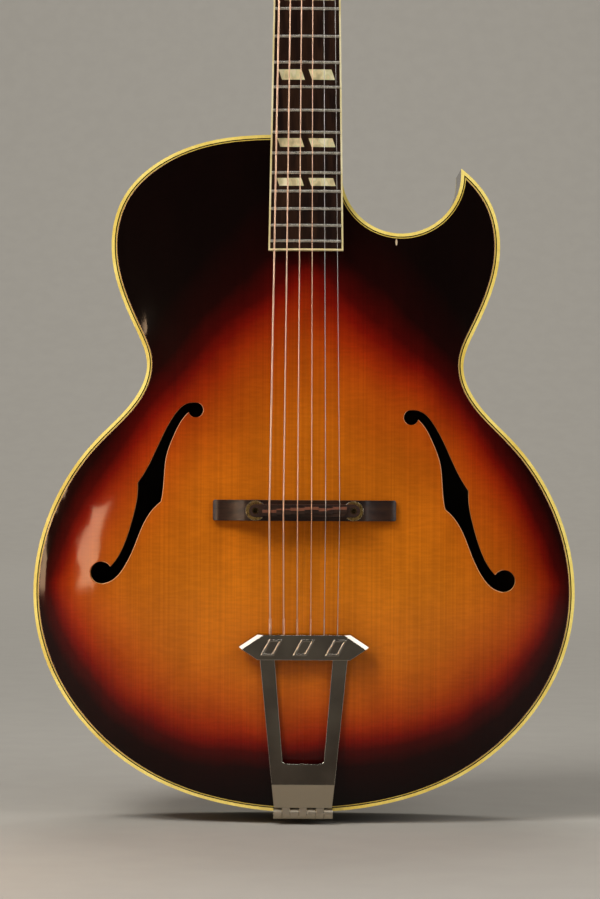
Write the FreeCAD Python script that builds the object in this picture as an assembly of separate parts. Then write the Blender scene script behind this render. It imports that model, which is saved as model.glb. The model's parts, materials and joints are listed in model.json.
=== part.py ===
"""Archtop guitar with one pointed cutaway, a hinged tailpiece and an adjustable bridge.

The pieces are drawn on the bench: X to the treble side, Y from the tail towards the head and Z out
of the top plate, with Z = 0 on the plane where the sides meet the top. Writing a piece out stands
the guitar up: Z then runs up the neck, the face looks along -Y, and the origin is the centre of the
strap button's outer face. Millimetres.
"""

import FreeCAD
import Part

import bisect
import math
import os

V = FreeCAD.Vector

# Body
BODY_LENGTH = 510.5
LOWER_BOUT = 408.0
WAIST = 238.4
UPPER_BOUT = 292.8
RIM_HEIGHT = 75.0
RIM_WALL = 2.5
PLATE_EDGE = 5.5
PLATE_THICKNESS = 6.5
TOP_RISE = 18.0
BACK_RISE = 16.0
RECURVE_DEPTH = 1.0
BINDING_WIDTH = 2.3
BLACK_LINE = 0.8
WHITE_LINE = 0.7
CUTAWAY_RADIUS = 45.0
CUTAWAY_X = 71.9
CUTAWAY_FROM_JOINT = 29.1
LINING_WIDTH = 6.0
LINING_HEIGHT = 15.0
NECK_BLOCK_WIDTH = 76.0
NECK_BLOCK_LENGTH = 52.0
TAIL_BLOCK_WIDTH = 92.0
TAIL_BLOCK_LENGTH = 24.0
TONE_BAR_WIDTH = 8.0
TONE_BAR_LENGTH = 290.0
TONE_BAR_SPACING = 66.0
TONE_BAR_FLOOR = 0.5

# Half outline: share of a bout's half width, that bout, and share of the body length.
OUTLINE = (
    (0.325, "lower", 0.0147),
    (0.585, "lower", 0.0548),
    (0.794, "lower", 0.1214),
    (0.956, "lower", 0.2253),
    (1.000, "lower", 0.3252),
    (0.942, "lower", 0.4407),
    (0.771, "lower", 0.5485),
    (1.067, "waist", 0.6131),
    (1.000, "waist", 0.6562),
    (1.083, "waist", 0.7169),
    (1.000, "upper", 0.8325),
    (0.946, "upper", 0.9030),
    (0.729, "upper", 0.9642),
    (0.424, "upper", 0.9941),
)
OUTLINE_SAMPLES = 72
OUTLINE_PANELS = 12

# Arch: a soap film over the outline, solved on a fine grid and read off on a coarser one.
FILM_STEP = 4.0
FILM_SWEEPS = 170
FILM_PULL = 1.93
ARCH_EVERY = 3
ARCH_BLUR = 3
ARCH_MARGIN = 20.0
ARCH_STIFFNESS = 0.35
ARCH_POWER = 1.5
RECURVE_SHARE = 0.16

# Sound holes, from the middle of each hole: X towards the centre line, Y towards the neck.
HOLE_FROM_CENTRE = 116.5
HOLE_FROM_BRIDGE = 12.2
TREBLE_HOLE_SHIFT = (2.2, -4.9)
HOLE_UPPER_EYE = (34.6, 62.6, 5.6)
HOLE_LOWER_EYE = (-35.9, -59.8, 8.3)
HOLE_OUTER_UPPER = ((34.7, 68.1), (25.7, 66.3), (17.4, 57.3), (9.9, 43.8), (1.7, 25.8), (-8.8, 7.8))
HOLE_OUTER_LOWER = (
    (-8.8, 7.8),
    (-9.2, -3.5),
    (-12.6, -19.2),
    (-18.2, -37.2),
    (-25.3, -50.8),
    (-30.6, -56.8),
)
HOLE_INNER_LOWER = (
    (-35.9, -68.0),
    (-26.1, -64.3),
    (-18.6, -55.3),
    (-11.8, -41.7),
    (-6.6, -28.2),
    (8.8, -6.1),
)
HOLE_INNER_UPPER = ((8.8, -6.1), (11.1, 13.8), (12.6, 28.0), (18.2, 43.8), (25.7, 57.3), (30.2, 61.8))

# Neck and fingerboard
SCALE = 628.65
FRETS = 20
JOINT_FRET = 14
NECK_ANGLE = 4.2
BOARD_SEAT = 15.6
BOARD_THICKNESS = 6.0
BOARD_RADIUS = 305.0
BOARD_OVERRUN = 7.0
BOARD_BINDING = 1.3
NUT_WIDTH = 42.9
BOARD_END_WIDTH = 56.1
NECK_DEPTH_AT_NUT = 15.0
NECK_DEPTH_AT_HEEL = 18.0
TONGUE_INSET = 1.5
TONGUE_DEPTH = 20.0
HEEL_CAP_THICKNESS = 2.0
TENON_WIDTH = 22.0
TENON_LENGTH = 22.0
TENON_TOP = -6.0
TENON_HEIGHT = 52.0
JOINT_GAP = 0.1
FRET_WIDTH = 2.4
FRET_HEIGHT = 1.1
FRET_TANG = 0.6
FRET_TANG_DEPTH = 2.0
FRET_END_GAP = 0.05
INLAY_FRETS = (3, 5, 7, 9, 12, 15, 17)
INLAY_MARGIN = 6.2
INLAY_GAP = 5.4
INLAY_DEPTH = 1.6
INLAY_HEIGHT_SHARE = 0.42
INLAY_SLANT = 19.0
NUT_THICKNESS = 5.0
NUT_OVER_BOARD = 2.6
TRUSS_ROD_RADIUS = 2.4
TRUSS_ROD_DEPTH = 7.0
TRUSS_ROD_GAP = 0.05
TRUSS_NUT_RADIUS = 3.4
TRUSS_NUT_LENGTH = 8.0
TRUSS_NUT_FROM_NUT = 4.0
TRUSS_NUT_SEAT = 1.0
TRUSS_ROD_FROM_JOINT = 4.0
TRUSS_POCKET_WIDTH = 10.0
TRUSS_POCKET_LENGTH = 22.0
TRUSS_POCKET_DEPTH = 10.0
TRUSS_COVER_THICKNESS = 1.6
TRUSS_COVER_MARGIN = 5.0
TRUSS_COVER_START = 1.0
HEEL_SECTIONS = ((8.0, 23.5, 72.0), (0.0, 23.0, 60.0), (-14.0, 20.5, 37.0), (-38.0, 17.0, 25.0))
HEEL_FOOT = (14.0, 20.0)
HEEL_ROOT = 3.0

# Head
HEAD_ANGLE = 15.0
HEAD_THICKNESS = 14.0
VENEER_THICKNESS = 1.5
VENEER_START = 0.2
HEAD_LENGTH = 186.0
HEAD_CROWN = 10.0
HEAD_SIDE = ((0.52, 0.00), (0.60, 0.06), (0.80, 0.16), (0.90, 0.34), (1.00, 0.93))
HEAD_WIDTH = 82.0
HEAD_BLEND = 20.0
BLEND_SINK = 0.6

# Tuners, from the axis of a string post: X outwards, Y towards the head's tip, Z out of the face.
FIRST_POST = 42.0
POST_PITCH = 42.0
FIRST_POST_X = 23.5
POST_X_STEP = 2.5
POST_RADIUS = 3.1
POST_HEIGHT = 15.0
POST_WAIST_RADIUS = 2.7
POST_WAIST = (3.4, 10.2)
POST_HOLE_RADIUS = 0.9
POST_HOLE_HEIGHT = 9.0
POST_SPIGOT_RADIUS = 1.5
POST_SPIGOT_PROUD = 0.3
BUSHING_RADIUS = 5.0
BUSHING_BODY_RADIUS = 4.4
BUSHING_HEIGHT = 2.2
BUSHING_DEPTH = 7.0
RUNNING_GAP = 0.06
EDGE_BEVEL = 0.8
GEAR_TEETH = 15
GEAR_PITCH_RADIUS = 5.0
GEAR_THICKNESS = 3.2
GEAR_DEPTH = 4.7
TOOTH_ADDENDUM = 0.6
TOOTH_DEDENDUM = 0.85
TOOTH_SHARE = 0.4
TOOTH_FLANK = 20.0
WORM_PITCH_RADIUS = 2.3
WORM_TURNS = 4
SHAFT_RADIUS = 1.5
THREAD_SINK = 0.2
HOUSING_WALL = 1.0
HOUSING_WIDTH = 15.0
HOUSING_BELOW = 9.0
HOUSING_ABOVE = 13.0
HOUSING_HEIGHT = 9.6
HOUSING_ROUND = 2.0
EAR_LENGTH = 5.5
EAR_WIDTH = 7.0
EAR_THICKNESS = 1.2
BUTTON_FROM_POST = 15.5
BUTTON_COLLAR_RADIUS = 3.4
BUTTON_COLLAR_LENGTH = 3.0
BUTTON_LENGTH = 15.0
BUTTON_WIDTH = 20.0
BUTTON_THICKNESS = 6.6
BUTTON_ROUND = 2.2
SCREW_HEAD_RADIUS = 2.0
SCREW_HEAD_HEIGHT = 1.0
SCREW_RADIUS = 1.0
SCREW_LENGTH = 8.0
SCREW_FLAT_SHARE = 0.6

# Strings, from the bass side
STRING_DIAMETERS = (1.35, 1.07, 0.81, 0.61, 0.43, 0.33)
COMPENSATION = (5.8, 5.0, 4.2, 3.4, 4.4, 3.2)
NUT_SPREAD = 35.5
BRIDGE_SPREAD = 52.2
TAIL_SPREAD = 50.0
NUT_ACTION = 1.7
BRIDGE_RISE = 5.1
STRING_GAP = 0.1
SADDLE_END_GAP = 0.4
WINDING_TURNS = (2.25, 2.25, 2.25, 3.25, 3.25, 3.25)
WINDING_GAP = 0.45
WINDING_CLEARANCE = 0.08
WINDING_START = 4.4
ARC_POINTS = 12
BALL_RADIUS = 2.0
BALL_LENGTH = 3.2
TWIST_LENGTH = 12.0
TWIST_SHARE = 1.7

# Bridge
BASE_LENGTH = 137.0
BASE_WIDTH = 15.5
BASE_WING = 24.3
BASE_WING_DROP = 4.4
BASE_END_DROP = 6.2
BASE_END_ROUND = 3.0
BASE_CORNER = 1.5
BASE_FOOT_GAP = 40.0
BASE_FOOT_RELIEF = 2.0
BRIDGE_GAP = 2.6
SADDLE_LENGTH = 82.6
SADDLE_WIDTH = 9.6
SADDLE_HEIGHT = 10.0
SADDLE_EAR_HEIGHT = 5.5
SADDLE_BODY_LENGTH = 62.0
SADDLE_BODY_WIDTH = 8.6
SADDLE_BODY_HEIGHT = 7.4
CREST_WIDTH = 4.4
CREST_SLOPE = 16.0
POST_SPACING = 73.0
BRIDGE_POST_RADIUS = 1.75
BRIDGE_POST_DEPTH = 6.0
BRIDGE_POST_SHORT = 2.5
SADDLE_HOLE_RADIUS = 2.4
WHEEL_RADIUS = 7.6
WHEEL_THICKNESS = 3.0
WHEEL_NOTCHES = 36
WHEEL_NOTCH_DEPTH = 0.5
WHEEL_GAP = 0.05

# Tailpiece and strap button
HINGE_FROM_TAIL = -0.6
HINGE_RADIUS = 4.0
HINGE_PIN_RADIUS = 1.5
HINGE_WIDTH = 44.5
HINGE_KNUCKLES = 7
KNUCKLE_GAP = 0.6
HINGE_CLEARANCE = 0.5
FRAME_THICKNESS = 2.2
FRAME_FOOT_RISE = 3.0
FRAME_BEND_Y = 22.0
FRAME_BEND_RISE = 9.6
FRAME_FOOT_WIDTH = 43.6
FRAME_BEND_WIDTH = 47.2
FRAME_TOP_WIDTH = 66.6
WINDOW_FOOT_Y = 37.7
WINDOW_FOOT_WIDTH = 31.0
WINDOW_TOP_WIDTH = 44.6
WINDOW_ROUND = 3.3
CREST_BAR_Y = 126.1
CREST_BAR_WIDTH = 97.2
CREST_BAR_EDGE = 69.0
CREST_BAR_HEIGHT = 18.8
CREST_BAR_THICKNESS = 8.0
CREST_BAR_WALL = 2.6
CREST_BAR_FACE = 1.8
CREST_BAR_BEVEL = 2.6
CREST_BAR_TILT = 5.5
CREST_ARM_LAP = 5.0
FRAME_LINES = (-24.1, 0.0, 24.1)
FRAME_LINE_WIDTH = 9.4
FRAME_LINE_HEIGHT = 12.0
FRAME_LINE_LEAN = 6.4
FRAME_LINE_STROKE = 1.3
FRAME_LINE_RAISE = 0.9
BRACKET_THICKNESS = 1.8
BRACKET_LENGTH = 66.0
BRACKET_FOOT_WIDTH = 30.0
BRACKET_ROUND = 6.0
BRACKET_GAP = 0.1
BRACKET_SCREWS = ((-13.0, -14.0), (13.0, -14.0), (0.0, -56.0))
BRACKET_SCREW_HEAD_RADIUS = 3.6
BRACKET_SCREW_HEAD_HEIGHT = 1.6
BRACKET_SCREW_RADIUS = 1.7
BRACKET_SCREW_LENGTH = 16.0
STRAP_SHANK_RADIUS = 3.0
STRAP_SHANK_LENGTH = 22.0
STRAP_COLLAR_RADIUS = 6.0
STRAP_COLLAR_RIM = 1.0
STRAP_COLLAR_LENGTH = 1.5
STRAP_WAIST_RADIUS = 3.4
STRAP_WAIST_LENGTH = 3.2
STRAP_HEAD_RADIUS = 7.5
STRAP_HEAD_LENGTH = 2.4
STRAP_HEAD_ROUND = 0.8

# Worked out from the sizes above.
PURFLED_WIDTH = BINDING_WIDTH + BLACK_LINE + WHITE_LINE
DEEP = 200.0
WORM_CENTRE = GEAR_PITCH_RADIUS + WORM_PITCH_RADIUS
TOOTH_PITCH = 2 * math.pi * GEAR_PITCH_RADIUS / GEAR_TEETH
HEAD_BACK = -(VENEER_THICKNESS + HEAD_THICKNESS)
GEAR_LEVEL = HEAD_BACK - GEAR_DEPTH
HINGE_Z = PLATE_EDGE + HINGE_RADIUS + HINGE_CLEARANCE
BRACKET_FACE = -(BRACKET_GAP + BRACKET_THICKNESS)
STRAP_Z = -RIM_HEIGHT / 2
STRAP_LENGTH = STRAP_COLLAR_LENGTH + STRAP_WAIST_LENGTH + STRAP_HEAD_LENGTH
STRAP_FACE = BRACKET_FACE - STRAP_LENGTH


def fret_at(number):
    return SCALE * (1 - 2 ** (-number / 12))


JOINT_REACH = fret_at(JOINT_FRET)
BOARD_LENGTH = fret_at(FRETS) + BOARD_OVERRUN
TRUSS_ROD_START = TRUSS_ROD_FROM_JOINT - JOINT_REACH
SPIN_X = V(1, 0, 0)
JOINT = V(0, BODY_LENGTH, BOARD_SEAT)
NECK_TURN = FreeCAD.Rotation(SPIN_X, -NECK_ANGLE)
NECK = FreeCAD.Placement(JOINT - NECK_TURN.multVec(V(0, -JOINT_REACH, 0)), NECK_TURN)
HEAD = NECK.multiply(FreeCAD.Placement(V(0, NUT_THICKNESS, 0), FreeCAD.Rotation(SPIN_X, -HEAD_ANGLE)))
BENCH_TO_STAND = FreeCAD.Placement(V(0, STRAP_Z, -STRAP_FACE), FreeCAD.Rotation(SPIN_X, 90))


def moved(shape, placement):
    copy = shape.copy()
    copy.Placement = placement.multiply(copy.Placement)
    return copy


def shifted(shape, x=0.0, y=0.0, z=0.0):
    return moved(shape, FreeCAD.Placement(V(x, y, z), FreeCAD.Rotation()))


def write(node, *shapes):
    solids = [solid for shape in shapes for solid in shape.Solids]
    moved(Part.makeCompound(solids), BENCH_TO_STAND).exportStep(f"parts/{node}.step")


def tell(name, point, direction):
    place = BENCH_TO_STAND.multVec(point)
    axis = BENCH_TO_STAND.Rotation.multVec(direction)
    numbers = " ".join(f"{value:.6f}" for value in (*place, *axis))
    print(f"axis {name} {numbers}")


def block(x, y, z):
    """Box from three (low, high) pairs."""
    return Part.makeBox(x[1] - x[0], y[1] - y[0], z[1] - z[0], V(x[0], y[0], z[0]))


def rod(start, end, radius):
    along = end - start
    return Part.makeCylinder(radius, along.Length, start, along)


def polygon(points):
    return Part.makePolygon([*points, points[0]])


def plate(points, low, high):
    """Prism on a closed polygon of (x, y) points."""
    return Part.Face(polygon([V(x, y, low) for x, y in points])).extrude(V(0, 0, high - low))


def joined(shapes):
    return shapes[0].fuse(shapes[1:]).removeSplitter()


def turned_profile(points, base, direction):
    """Solid of revolution of (radius, length) points about the line from base along direction."""
    profile = Part.Face(polygon([V(radius, 0, length) for radius, length in points]))
    solid = profile.revolve(V(0, 0, 0), V(0, 0, 1), 360)
    return moved(solid, FreeCAD.Placement(base, FreeCAD.Rotation(V(0, 0, 1), direction)))


# Body outline


def half_outline():
    half = {"lower": LOWER_BOUT / 2, "waist": WAIST / 2, "upper": UPPER_BOUT / 2}
    return [(share * half[bout], height * BODY_LENGTH) for share, bout, height in OUTLINE]


def body_curve():
    """Closed outline without the cutaway, from the tail up the bass side and back."""
    half = half_outline()
    bass = [V(-x, y, 0) for x, y in half]
    treble = [V(x, y, 0) for x, y in reversed(half)]
    curve = Part.BSplineCurve()
    curve.interpolate(Points=[V(0, 0, 0), *bass, V(0, BODY_LENGTH, 0), *treble], PeriodicFlag=True)
    return curve


CURVE = body_curve()


def inset_curve(inset):
    """The outline moved inwards, or outwards for a negative inset."""
    if inset == 0:
        return CURVE
    span = CURVE.LastParameter - CURVE.FirstParameter
    points = []
    for sample in range(OUTLINE_SAMPLES):
        place, along = CURVE.getD1(CURVE.FirstParameter + span * sample / OUTLINE_SAMPLES)[:2]
        inwards = V(along.y, -along.x, 0).normalize()
        points.append(place + inwards * inset)
    curve = Part.BSplineCurve()
    curve.interpolate(Points=points, PeriodicFlag=True)
    return curve


def outline_prism(inset, low, high):
    """Prism on the outline, its wall in several panels."""
    curve = inset_curve(inset)
    span = (curve.LastParameter - curve.FirstParameter) / OUTLINE_PANELS
    edges = []
    for panel in range(OUTLINE_PANELS):
        piece = curve.copy()
        piece.segment(curve.FirstParameter + panel * span, curve.FirstParameter + (panel + 1) * span)
        edges.append(piece.toShape())
    return shifted(Part.Face(Part.Wire(edges)).extrude(V(0, 0, high - low)), z=low)


def cutaway_y():
    return BODY_LENGTH - CUTAWAY_FROM_JOINT


def cutaway_prism(margin, low, high):
    """Space taken out of the treble shoulder: a half round with straight walls above it."""
    radius = CUTAWAY_RADIUS + margin
    left = V(CUTAWAY_X - radius, cutaway_y(), low)
    right = V(CUTAWAY_X + radius, cutaway_y(), low)
    beyond = V(0, BODY_LENGTH, 0)
    corners = Part.makePolygon([right, right + beyond, left + beyond, left])
    arc = Part.Arc(left, V(CUTAWAY_X, cutaway_y() - radius, low), right).toShape()
    return Part.Face(Part.Wire([arc, *corners.Edges])).extrude(V(0, 0, high - low))


def region(inset, low, high):
    return outline_prism(inset, low, high).cut(cutaway_prism(inset, low, high))


def ring(outer, inner, low, high):
    return region(outer, low, high).cut(region(inner, low, high))


# Carved arch


def half_width_table():
    """Height and half width along the bass side of the outline."""
    middle = (CURVE.FirstParameter + CURVE.LastParameter) / 2
    steps = 4 * OUTLINE_SAMPLES
    step = (middle - CURVE.FirstParameter) / steps
    points = [CURVE.value(CURVE.FirstParameter + step * k) for k in range(steps + 1)]
    return [point.y for point in points], [-point.x for point in points]


def inside_body(x, y, heights, widths):
    if not heights[0] < y < heights[-1]:
        return False
    after = bisect.bisect(heights, y)
    share = (y - heights[after - 1]) / (heights[after] - heights[after - 1])
    if abs(x) >= widths[after - 1] + share * (widths[after] - widths[after - 1]):
        return False
    if y > cutaway_y():
        return abs(x - CUTAWAY_X) >= CUTAWAY_RADIUS
    return math.hypot(x - CUTAWAY_X, y - cutaway_y()) >= CUTAWAY_RADIUS


def film_grid():
    """Soap film over the outline: its grid columns and rows, and heights from 0 to 1."""
    reach_x = math.ceil((LOWER_BOUT / 2 + ARCH_MARGIN) / FILM_STEP / ARCH_EVERY) * ARCH_EVERY
    below = math.ceil(ARCH_MARGIN / FILM_STEP / ARCH_EVERY) * ARCH_EVERY
    above = math.ceil((BODY_LENGTH + ARCH_MARGIN) / FILM_STEP / ARCH_EVERY) * ARCH_EVERY
    columns = [FILM_STEP * i for i in range(-reach_x, reach_x + 1)]
    rows = [FILM_STEP * j for j in range(-below, above + 1)]
    heights, widths = half_width_table()
    film = [[0.0] * len(rows) for _ in columns]
    cells = []
    for i, x in enumerate(columns):
        cells += [(i, j) for j, y in enumerate(rows) if inside_body(x, y, heights, widths)]
    for _ in range(FILM_SWEEPS):
        for i, j in cells:
            column = film[i]
            around = film[i - 1][j] + film[i + 1][j] + column[j - 1] + column[j + 1]
            column[j] += FILM_PULL * ((around + 1.0) / 4 - column[j])
    highest = max(max(column) for column in film)
    return columns, rows, [[value / highest for value in column] for column in film]


FILM = film_grid()


def arch_share(film):
    lifted = max(film, 0.0) ** ARCH_POWER
    return (1 + ARCH_STIFFNESS) * lifted / (lifted + ARCH_STIFFNESS)


def recurve(film):
    return math.sin(math.pi * min(film / RECURVE_SHARE, 1.0)) ** 2


def arch_surface(rise):
    """Outer face of a plate that rises by this much over its edge."""
    columns, rows, film = FILM
    grid = []
    for i in range(0, len(columns), ARCH_EVERY):
        line = []
        for j in range(0, len(rows), ARCH_EVERY):
            near_i = range(max(i - ARCH_BLUR, 0), min(i + ARCH_BLUR + 1, len(columns)))
            near_j = range(max(j - ARCH_BLUR, 0), min(j + ARCH_BLUR + 1, len(rows)))
            around = [film[a][b] for a in near_i for b in near_j]
            value = sum(around) / len(around)
            height = PLATE_EDGE + rise * arch_share(value) - RECURVE_DEPTH * recurve(value)
            line.append(V(columns[i], rows[j], height))
        grid.append(line)
    surface = Part.BSplineSurface()
    surface.interpolate(grid)
    return surface


TOP_SURFACE = arch_surface(TOP_RISE)
BACK_SURFACE = arch_surface(BACK_RISE)


def under(surface, lift=0.0):
    """Everything below an arched face."""
    return shifted(surface.toShape().extrude(V(0, 0, -DEEP)), z=lift)


def top_height(x, y):
    line = Part.LineSegment(V(x, y, -DEEP), V(x, y, DEEP))
    points, _ = TOP_SURFACE.intersect(line)[:2]
    return points[0].Z


def bridge_point(string_x, reach, rise):
    """Bench point over the bridge, from the neck's own frame."""
    camber = string_x**2 / (2 * BOARD_RADIUS)
    return NECK.multVec(V(string_x, -reach, BOARD_THICKNESS + rise - camber))


SADDLE_TOP = bridge_point(0, SCALE + sum(COMPENSATION) / len(COMPENSATION), BRIDGE_RISE)
BRIDGE_Y = SADDLE_TOP.y
SADDLE_Z = SADDLE_TOP.z - SADDLE_HEIGHT
WHEEL_Z = SADDLE_Z - WHEEL_GAP - WHEEL_THICKNESS
BASE_TOP = WHEEL_Z - BRIDGE_GAP


def hole_prism(side, shift):
    """Sound hole of the bass (-1) or treble (1) side, through the top."""
    middle = V(side * (HOLE_FROM_CENTRE - shift[0]), BRIDGE_Y + HOLE_FROM_BRIDGE + shift[1], -DEEP)

    def place(x, y):
        return middle + V(-side * x, y, 0)

    def edge(points):
        curve = Part.BSplineCurve()
        curve.interpolate([place(x, y) for x, y in points])
        return curve.toShape()

    outer = [edge(HOLE_OUTER_UPPER), edge(HOLE_OUTER_LOWER)]
    inner = [edge(HOLE_INNER_LOWER), edge(HOLE_INNER_UPPER)]
    lower_end = Part.makeLine(place(*HOLE_OUTER_LOWER[-1]), place(*HOLE_INNER_LOWER[0]))
    upper_end = Part.makeLine(place(*HOLE_INNER_UPPER[-1]), place(*HOLE_OUTER_UPPER[0]))
    arms = Part.Face(Part.Wire([*outer, lower_end, *inner, upper_end])).extrude(V(0, 0, 2 * DEEP))
    eye_sizes = (HOLE_UPPER_EYE, HOLE_LOWER_EYE)
    eyes = [Part.makeCylinder(radius, 2 * DEEP, place(x, y)) for x, y, radius in eye_sizes]
    return arms.fuse(eyes)


def carved_plate(surface):
    hollow = under(surface, -PLATE_THICKNESS)
    return region(PURFLED_WIDTH, 0, DEEP / 2).common(under(surface)).cut(hollow)


def halves(shape):
    bass = block((-DEEP * 2, 0), (-DEEP, DEEP * 4), (-DEEP, DEEP))
    treble = block((0, DEEP * 2), (-DEEP, DEEP * 4), (-DEEP, DEEP))
    return shape.common(bass), shape.common(treble)


def to_back(shape):
    """A piece drawn for the top edge of the sides, turned over to the back edge."""
    return shifted(shape.mirror(V(0, 0, 0), V(0, 0, 1)), z=-RIM_HEIGHT)


def tenon(margin=0.0):
    half = TENON_WIDTH / 2 + margin
    depth = (TENON_TOP - TENON_HEIGHT - margin, TENON_TOP + margin)
    run = (BODY_LENGTH - TENON_LENGTH - margin, BODY_LENGTH + HEEL_ROOT)
    return block((-half, half), run, depth)


def bracket_screws():
    solids = []
    for x, z in BRACKET_SCREWS:
        face = V(x, BRACKET_FACE, z)
        profile = (
            (0, -BRACKET_SCREW_HEAD_HEIGHT),
            (BRACKET_SCREW_HEAD_RADIUS * SCREW_FLAT_SHARE, -BRACKET_SCREW_HEAD_HEIGHT),
            (BRACKET_SCREW_HEAD_RADIUS, 0),
            (BRACKET_SCREW_RADIUS, 0),
            (BRACKET_SCREW_RADIUS, BRACKET_SCREW_LENGTH),
            (0, BRACKET_SCREW_LENGTH + BRACKET_SCREW_RADIUS),
        )
        solids.append(turned_profile(profile, face, V(0, 1, 0)))
    return Part.makeCompound(solids)


def strap_button():
    head = STRAP_HEAD_LENGTH
    waist = head + STRAP_WAIST_LENGTH
    collar = waist + STRAP_COLLAR_LENGTH
    profile = (
        (0, 0),
        (STRAP_HEAD_RADIUS - STRAP_HEAD_ROUND, 0),
        (STRAP_HEAD_RADIUS, STRAP_HEAD_ROUND),
        (STRAP_HEAD_RADIUS, head - STRAP_HEAD_ROUND),
        (STRAP_WAIST_RADIUS, head),
        (STRAP_WAIST_RADIUS, waist),
        (STRAP_COLLAR_RADIUS, collar - STRAP_COLLAR_RIM),
        (STRAP_COLLAR_RADIUS, collar),
        (STRAP_SHANK_RADIUS, collar),
        (STRAP_SHANK_RADIUS, collar + STRAP_SHANK_LENGTH),
        (0, collar + STRAP_SHANK_LENGTH),
    )
    return turned_profile(profile, V(0, STRAP_FACE, STRAP_Z), V(0, 1, 0))


def build_body():
    tail_hardware = [bracket_screws(), strap_button()]
    mortise = tenon(JOINT_GAP)

    top = carved_plate(TOP_SURFACE)
    top = top.cut([hole_prism(-1, (0, 0)), hole_prism(1, TREBLE_HOLE_SHIFT)])
    top_bass, top_treble = halves(top)
    write("top_bass", top_bass)
    write("top_treble", top_treble)
    back_bass, back_treble = halves(to_back(carved_plate(BACK_SURFACE)))
    write("back_bass", back_bass)
    write("back_treble", back_treble)

    crown = under(TOP_SURFACE)
    edge_top = DEEP / 4
    line = BINDING_WIDTH + BLACK_LINE
    write("binding_top", ring(0, BINDING_WIDTH, 0, edge_top).common(crown))
    write("purfling_black", ring(BINDING_WIDTH, line, 0, edge_top).common(crown))
    write("purfling_white", ring(line, PURFLED_WIDTH, 0, edge_top).common(crown))
    write("binding_back", to_back(ring(0, PURFLED_WIDTH, 0, edge_top).common(under(BACK_SURFACE))))

    sides = ring(0, RIM_WALL, -RIM_HEIGHT, 0).cut([mortise, *tail_hardware])
    beside_neck = block((0, CUTAWAY_X), (cutaway_y(), BODY_LENGTH + RIM_WALL), (-RIM_HEIGHT, 0))
    bay_side = cutaway_prism(RIM_WALL, -RIM_HEIGHT, 0).fuse(beside_neck)
    rim_bass, rim_treble = halves(sides)
    write("rim_bass", rim_bass)
    write("rim_treble", rim_treble.cut(bay_side))
    write("rim_cutaway", rim_treble.common(bay_side))

    inner = region(RIM_WALL, -RIM_HEIGHT, 0)
    half_neck = NECK_BLOCK_WIDTH / 2
    half_tail = TAIL_BLOCK_WIDTH / 2
    rim_span = (-RIM_HEIGHT, 0)
    neck_space = block((-half_neck, half_neck), (BODY_LENGTH - NECK_BLOCK_LENGTH, BODY_LENGTH), rim_span)
    tail_space = block((-half_tail, half_tail), (0, TAIL_BLOCK_LENGTH), rim_span)
    write("neck_block", inner.common(neck_space).cut(mortise))
    write("tail_block", inner.common(tail_space).cut(tail_hardware))
    lining = ring(RIM_WALL, RIM_WALL + LINING_WIDTH, -LINING_HEIGHT, 0).cut([neck_space, tail_space])
    write("linings", lining, to_back(lining))

    hollow = under(TOP_SURFACE, -PLATE_THICKNESS)
    start = BRIDGE_Y - TONE_BAR_LENGTH / 2
    bars = []
    for side in (-1, 1):
        middle = side * TONE_BAR_SPACING / 2
        across = (middle - TONE_BAR_WIDTH / 2, middle + TONE_BAR_WIDTH / 2)
        blank = block(across, (start, start + TONE_BAR_LENGTH), (TONE_BAR_FLOOR, DEEP / 2))
        bars.append(blank.common(hollow))
    write("tone_bars", *bars)


# Neck, fingerboard and head


def board_half(reach):
    return (NUT_WIDTH + (BOARD_END_WIDTH - NUT_WIDTH) * reach / BOARD_LENGTH) / 2


def board_blank(inset):
    """Cambered fingerboard, drawn in from its sides and its body end."""
    end = BOARD_LENGTH - inset
    foot = board_half(end) - inset
    top = board_half(0) - inset
    blank = plate(((-top, 0), (top, 0), (foot, -end), (-foot, -end)), 0, BOARD_THICKNESS)
    axis = V(0, 1, BOARD_THICKNESS - BOARD_RADIUS)
    return blank.common(Part.makeCylinder(BOARD_RADIUS, BOARD_LENGTH + 2, axis, V(0, -1, 0)))


def round_camber(profile, reach):
    """Fret-long sweep of a closed profile round the fingerboard's camber."""
    half = board_half(reach) - BOARD_BINDING - FRET_END_GAP
    angle = math.degrees(math.asin(half / (BOARD_RADIUS + FRET_HEIGHT)))
    axis = V(0, 0, BOARD_THICKNESS - BOARD_RADIUS)
    face = Part.Face(profile)
    face.rotate(axis, V(0, 1, 0), -angle)
    return face.revolve(axis, V(0, 1, 0), 2 * angle)


def tang_points(reach, top):
    """Down one side of a tang and up the other."""
    near = FRET_TANG / 2 - reach
    far = -FRET_TANG / 2 - reach
    low = BOARD_THICKNESS - FRET_TANG_DEPTH
    return [V(0, near, top), V(0, near, low), V(0, far, low), V(0, far, top)]


def fret(number):
    """Crown with the tang under it."""
    reach = fret_at(number)
    top = BOARD_THICKNESS
    start = V(0, -reach - FRET_WIDTH / 2, top)
    end = V(0, -reach + FRET_WIDTH / 2, top)
    crown = Part.Arc(start, V(0, -reach, top + FRET_HEIGHT), end).toShape()
    tang = Part.makePolygon([end, *tang_points(reach, top), start])
    return round_camber(Part.Wire([crown, *tang.Edges]), reach)


def fret_slot(number):
    reach = fret_at(number)
    return round_camber(polygon(tang_points(reach, BOARD_THICKNESS + FRET_HEIGHT)), reach)


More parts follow.
